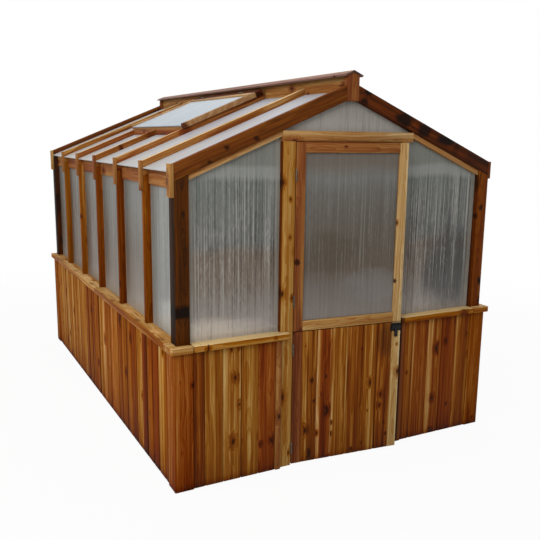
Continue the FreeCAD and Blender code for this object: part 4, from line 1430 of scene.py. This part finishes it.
ZINC_NODES = (
    "hinge_fixed_leaves", "upper_door_hinge_leaves", "lower_door_hinge_leaves",
    "vent_hinge_leaves", "hinge_pins", "bolt_barrel", "bolt_keeper", "bolt_rod", "vent_prop",
    "vent_prop_pin",
)
LATCH_NODES = ("latch_plate", "latch_handle")
NAILS_FROM_END = {
    "side_boards": 0.017, "front_boards": 0.017, "rear_boards": 0.017, "corner_boards": 0.03,
    "rafter_end_caps": 0.03,
}
HINGE_HEIGHTS = {"upper_door": (1.118, 1.914), "lower_door": (0.123, 0.797)}


@dataclass
class Ironmongery:
    """Hinges, latch, bolt, prop and the heads of the fasteners."""

    palette: Palette
    boxes: dict[str, list[Box]]
    zinc_bevel: float = 0.0004
    latch_bevel: float = 0.0012
    sill_top: float = 0.925
    side_line: float = 1.215
    side_rows: tuple[tuple[float, float, int], ...] = (
        (-1.825, 1.825, 2), (-1.62, -0.08, 4), (0.08, 1.62, 4))
    gable_line: float = 1.83
    front_row: tuple[float, float, int] = (0.52, 1.05, 2)
    rear_row: tuple[float, float, int] = (-1.0, 1.0, 5)
    header_end: Point = (0.45, -1.804, 2.15)
    header_nails: int = 4
    ridge_end: Point = (0.035, 1.7, 2.5434)
    ridge_nails: int = 8
    roof_normal: Point = (0.3846, 0.0, 0.9231)
    hinge_screw: tuple[float, float] = (0.0005, 0.021)
    hinge_steps: tuple[float, ...] = (-0.026, 0.0, 0.026)
    latch_face: Point = (0.3625, -1.808, 0.881)
    latch_screw: tuple[float, float] = (0.030, 0.020)

    def build(self) -> None:
        """Dress the metal nodes and add the fastener heads."""
        for node in ZINC_NODES:
            DressedNode(node, ZINC, bevel=self.zinc_bevel).build(self.palette)
        for node in LATCH_NODES:
            DressedNode(node, BLACK, bevel=self.latch_bevel).build(self.palette)
        nailed = {node + "_nails": upright_spots(self.boxes[node], from_end)
                  for node, from_end in NAILS_FROM_END.items()}
        nailed["trim_nails"] = self.trim_spots()
        for name, spots in nailed.items():
            FastenerSet(name, "frame", NAIL_STEEL, Head.NAIL, spots).build(self.palette)
        self.add_screws()

    def trim_spots(self) -> list[Spot]:
        """Find the nail spots on sills, corner caps, ridge caps and door header.

        Returns:
            Places and outward directions.
        """
        top, line = self.sill_top, self.gable_line
        x, y, z = self.header_end
        spots = row_spots((-x, y, z), (x, y, z), self.header_nails, FRONT)
        start, end, count = self.rear_row
        spots += row_spots((start, line, top), (end, line, top), count, UP)
        for side in (-1.0, 1.0):
            start, end, count = self.front_row
            spots += row_spots((side * start, -line, top), (side * end, -line, top), count, UP)
            edge = side * self.side_line
            for start, end, count in self.side_rows:
                spots += row_spots((edge, start, top), (edge, end, top), count, UP)
            x, y, z = self.ridge_end
            across, along, upward = self.roof_normal
            spots += row_spots((side * x, -y, z), (side * x, y, z), self.ridge_nails,
                               (side * across, along, upward))
        return spots

    def add_screws(self) -> None:
        """Screw down the door hinges and the latch plate, with the leaves ajar as at rest."""
        ajar = (Matrix.Translation(DOOR_AXIS) @ Matrix.Rotation(-DOOR_AJAR, 4, "Z")
                @ Matrix.Translation(-DOOR_AXIS))
        turn = ajar.to_3x3()
        gap, reach = self.hinge_screw
        fixed = []
        for body, heights in HINGE_HEIGHTS.items():
            moving = []
            for level in (height + step for height in heights for step in self.hinge_steps):
                fixed.append((DOOR_AXIS + Vector((-gap, reach, level)), Vector(RIGHT)))
                moving.append((ajar @ (DOOR_AXIS + Vector((gap, reach, level))),
                               turn @ Vector(LEFT)))
            screws = FastenerSet(body + "_hinge_screws", body, ZINC, Head.HINGE_SCREW, moving)
            screws.build(self.palette)
        screws = FastenerSet("frame_hinge_screws", "frame", ZINC, Head.HINGE_SCREW, fixed)
        screws.build(self.palette)
        wide, high = self.latch_screw
        spots = [(ajar @ (Vector(self.latch_face) + Vector((x, 0.0, z))), turn @ Vector(FRONT))
                 for x in (-wide, wide) for z in (-high, high)]
        screws = FastenerSet("latch_screws", "lower_door", BLACK, Head.SCREW, spots, "black_steel")
        screws.build(self.palette)


@dataclass(frozen=True)
class Lamp:
    """A soft square lamp that faces the middle of the house."""

    name: str
    place: Point
    size: float
    power: float
    aim: Point = (0.0, 0.0, 1.2)

    def add(self) -> None:
        """Hang the lamp and turn it to its aim."""
        data = bpy.data.lights.new(self.name, "AREA")
        data.size = self.size
        data.energy = self.power
        lamp = bpy.data.objects.new(self.name, data)
        lamp.location = self.place
        sight = Vector(self.aim) - Vector(self.place)
        lamp.rotation_euler = sight.to_track_quat("-Z", "Y").to_euler()
        bpy.context.scene.collection.objects.link(lamp)


@dataclass
class Studio:
    """Camera, lights, floor and surroundings."""

    eye: Point = (-2.51017, -5.47072, 2.13331)
    right: Point = (0.88547, -0.46454, 0.01193)
    up: Point = (0.07742, 0.17278, 0.98191)
    back: Point = (-0.45819, -0.86853, 0.18896)
    lens: float = 45.568
    view_reach: float = 200.0
    world_light: float = 0.44
    floor_size: float = 120.0
    floor_grey: float = 0.60
    floor_glow: tuple[float, ...] = (2.6, 7.0, 0.94, 1.0)
    lamps: tuple[Lamp, ...] = (
        Lamp("key_lamp", (-5.0, -7.0, 6.0), 5.0, 385.0),
        Lamp("side_lamp", (-8.5, -1.0, 5.5), 5.0, 315.0),
        Lamp("top_lamp", (0.0, 0.0, 9.0), 6.0, 255.0),
        Lamp("fill_lamp", (7.0, 6.5, 4.5), 5.0, 170.0),
    )

    def build(self) -> None:
        """Set up the whole studio."""
        bpy.context.scene.view_settings.view_transform = "Standard"
        self.add_camera()
        self.add_world()
        self.add_floor()
        for lamp in self.lamps:
            lamp.add()
        log.info("studio ready")

    def add_camera(self) -> None:
        """Place the camera where the photograph was taken."""
        data = bpy.data.cameras.new("camera")
        data.lens = self.lens
        data.clip_end = self.view_reach
        camera = bpy.data.objects.new("camera", data)
        columns = (Vector(self.right), Vector(self.up), Vector(self.back))
        turn = Matrix(columns).transposed().to_4x4()
        camera.matrix_world = Matrix.Translation(Vector(self.eye)) @ turn
        bpy.context.scene.collection.objects.link(camera)
        bpy.context.scene.camera = camera

    def seen_directly(self, tree: bpy.types.NodeTree) -> Socket:
        """Add nodes that tell rays that see the background plainly.

        Args:
            tree: Node tree to add to.

        Returns:
            One for camera, glossy and transmission rays, else zero.
        """
        rays = tree.nodes.new("ShaderNodeLightPath")
        total = rays.outputs["Is Camera Ray"]
        for kind in ("Is Glossy Ray", "Is Transmission Ray"):
            most = tree.nodes.new("ShaderNodeMath")
            most.operation = "MAXIMUM"
            tree.links.new(total, most.inputs[0])
            tree.links.new(rays.outputs[kind], most.inputs[1])
            total = most.outputs[0]
        return total

    def add_world(self) -> None:
        """Surround the scene with soft light that looks white."""
        world = bpy.data.worlds.new("studio")
        world.use_nodes = True
        bpy.context.scene.world = world
        tree = world.node_tree
        strength = tree.nodes.new("ShaderNodeMapRange")
        tree.links.new(self.seen_directly(tree), strength.inputs[0])
        strength.inputs[3].default_value = self.world_light
        strength.inputs[4].default_value = 1.0
        background = tree.nodes["Background"]
        background.inputs[0].default_value = (1.0, 1.0, 1.0, 1.0)
        tree.links.new(strength.outputs[0], background.inputs[1])

    def add_floor(self) -> None:
        """Lay a pale floor that keeps a soft shadow."""
        bpy.ops.mesh.primitive_plane_add(size=self.floor_size)
        floor = bpy.context.object
        floor.name = "floor"
        graph = Graph("floor_white")
        matte = graph.node("ShaderNodeBsdfDiffuse", {"Color": (self.floor_grey,) * 3})
        glow = graph.node("ShaderNodeEmission")
        share = graph.smooth(graph.length(graph.place()), *self.floor_glow)
        share = graph.math("MULTIPLY", share, self.seen_directly(graph.tree))
        layers = (share, matte.outputs[0], glow.outputs[0])
        blend = graph.node("ShaderNodeMixShader", layers)
        graph.node("ShaderNodeOutputMaterial", (blend.outputs[0],))
        floor.data.materials.append(graph.material)


def main() -> None:
    """Build the whole visual model."""
    logging.basicConfig(level=logging.INFO, format="%(name)s: %(message)s")
    palette = Palette()
    boxes = Timberwork(palette).build()
    Glazing(palette).build()
    Ironmongery(palette, boxes).build()
    Studio().build()


if __name__ == "__main__":
    main()
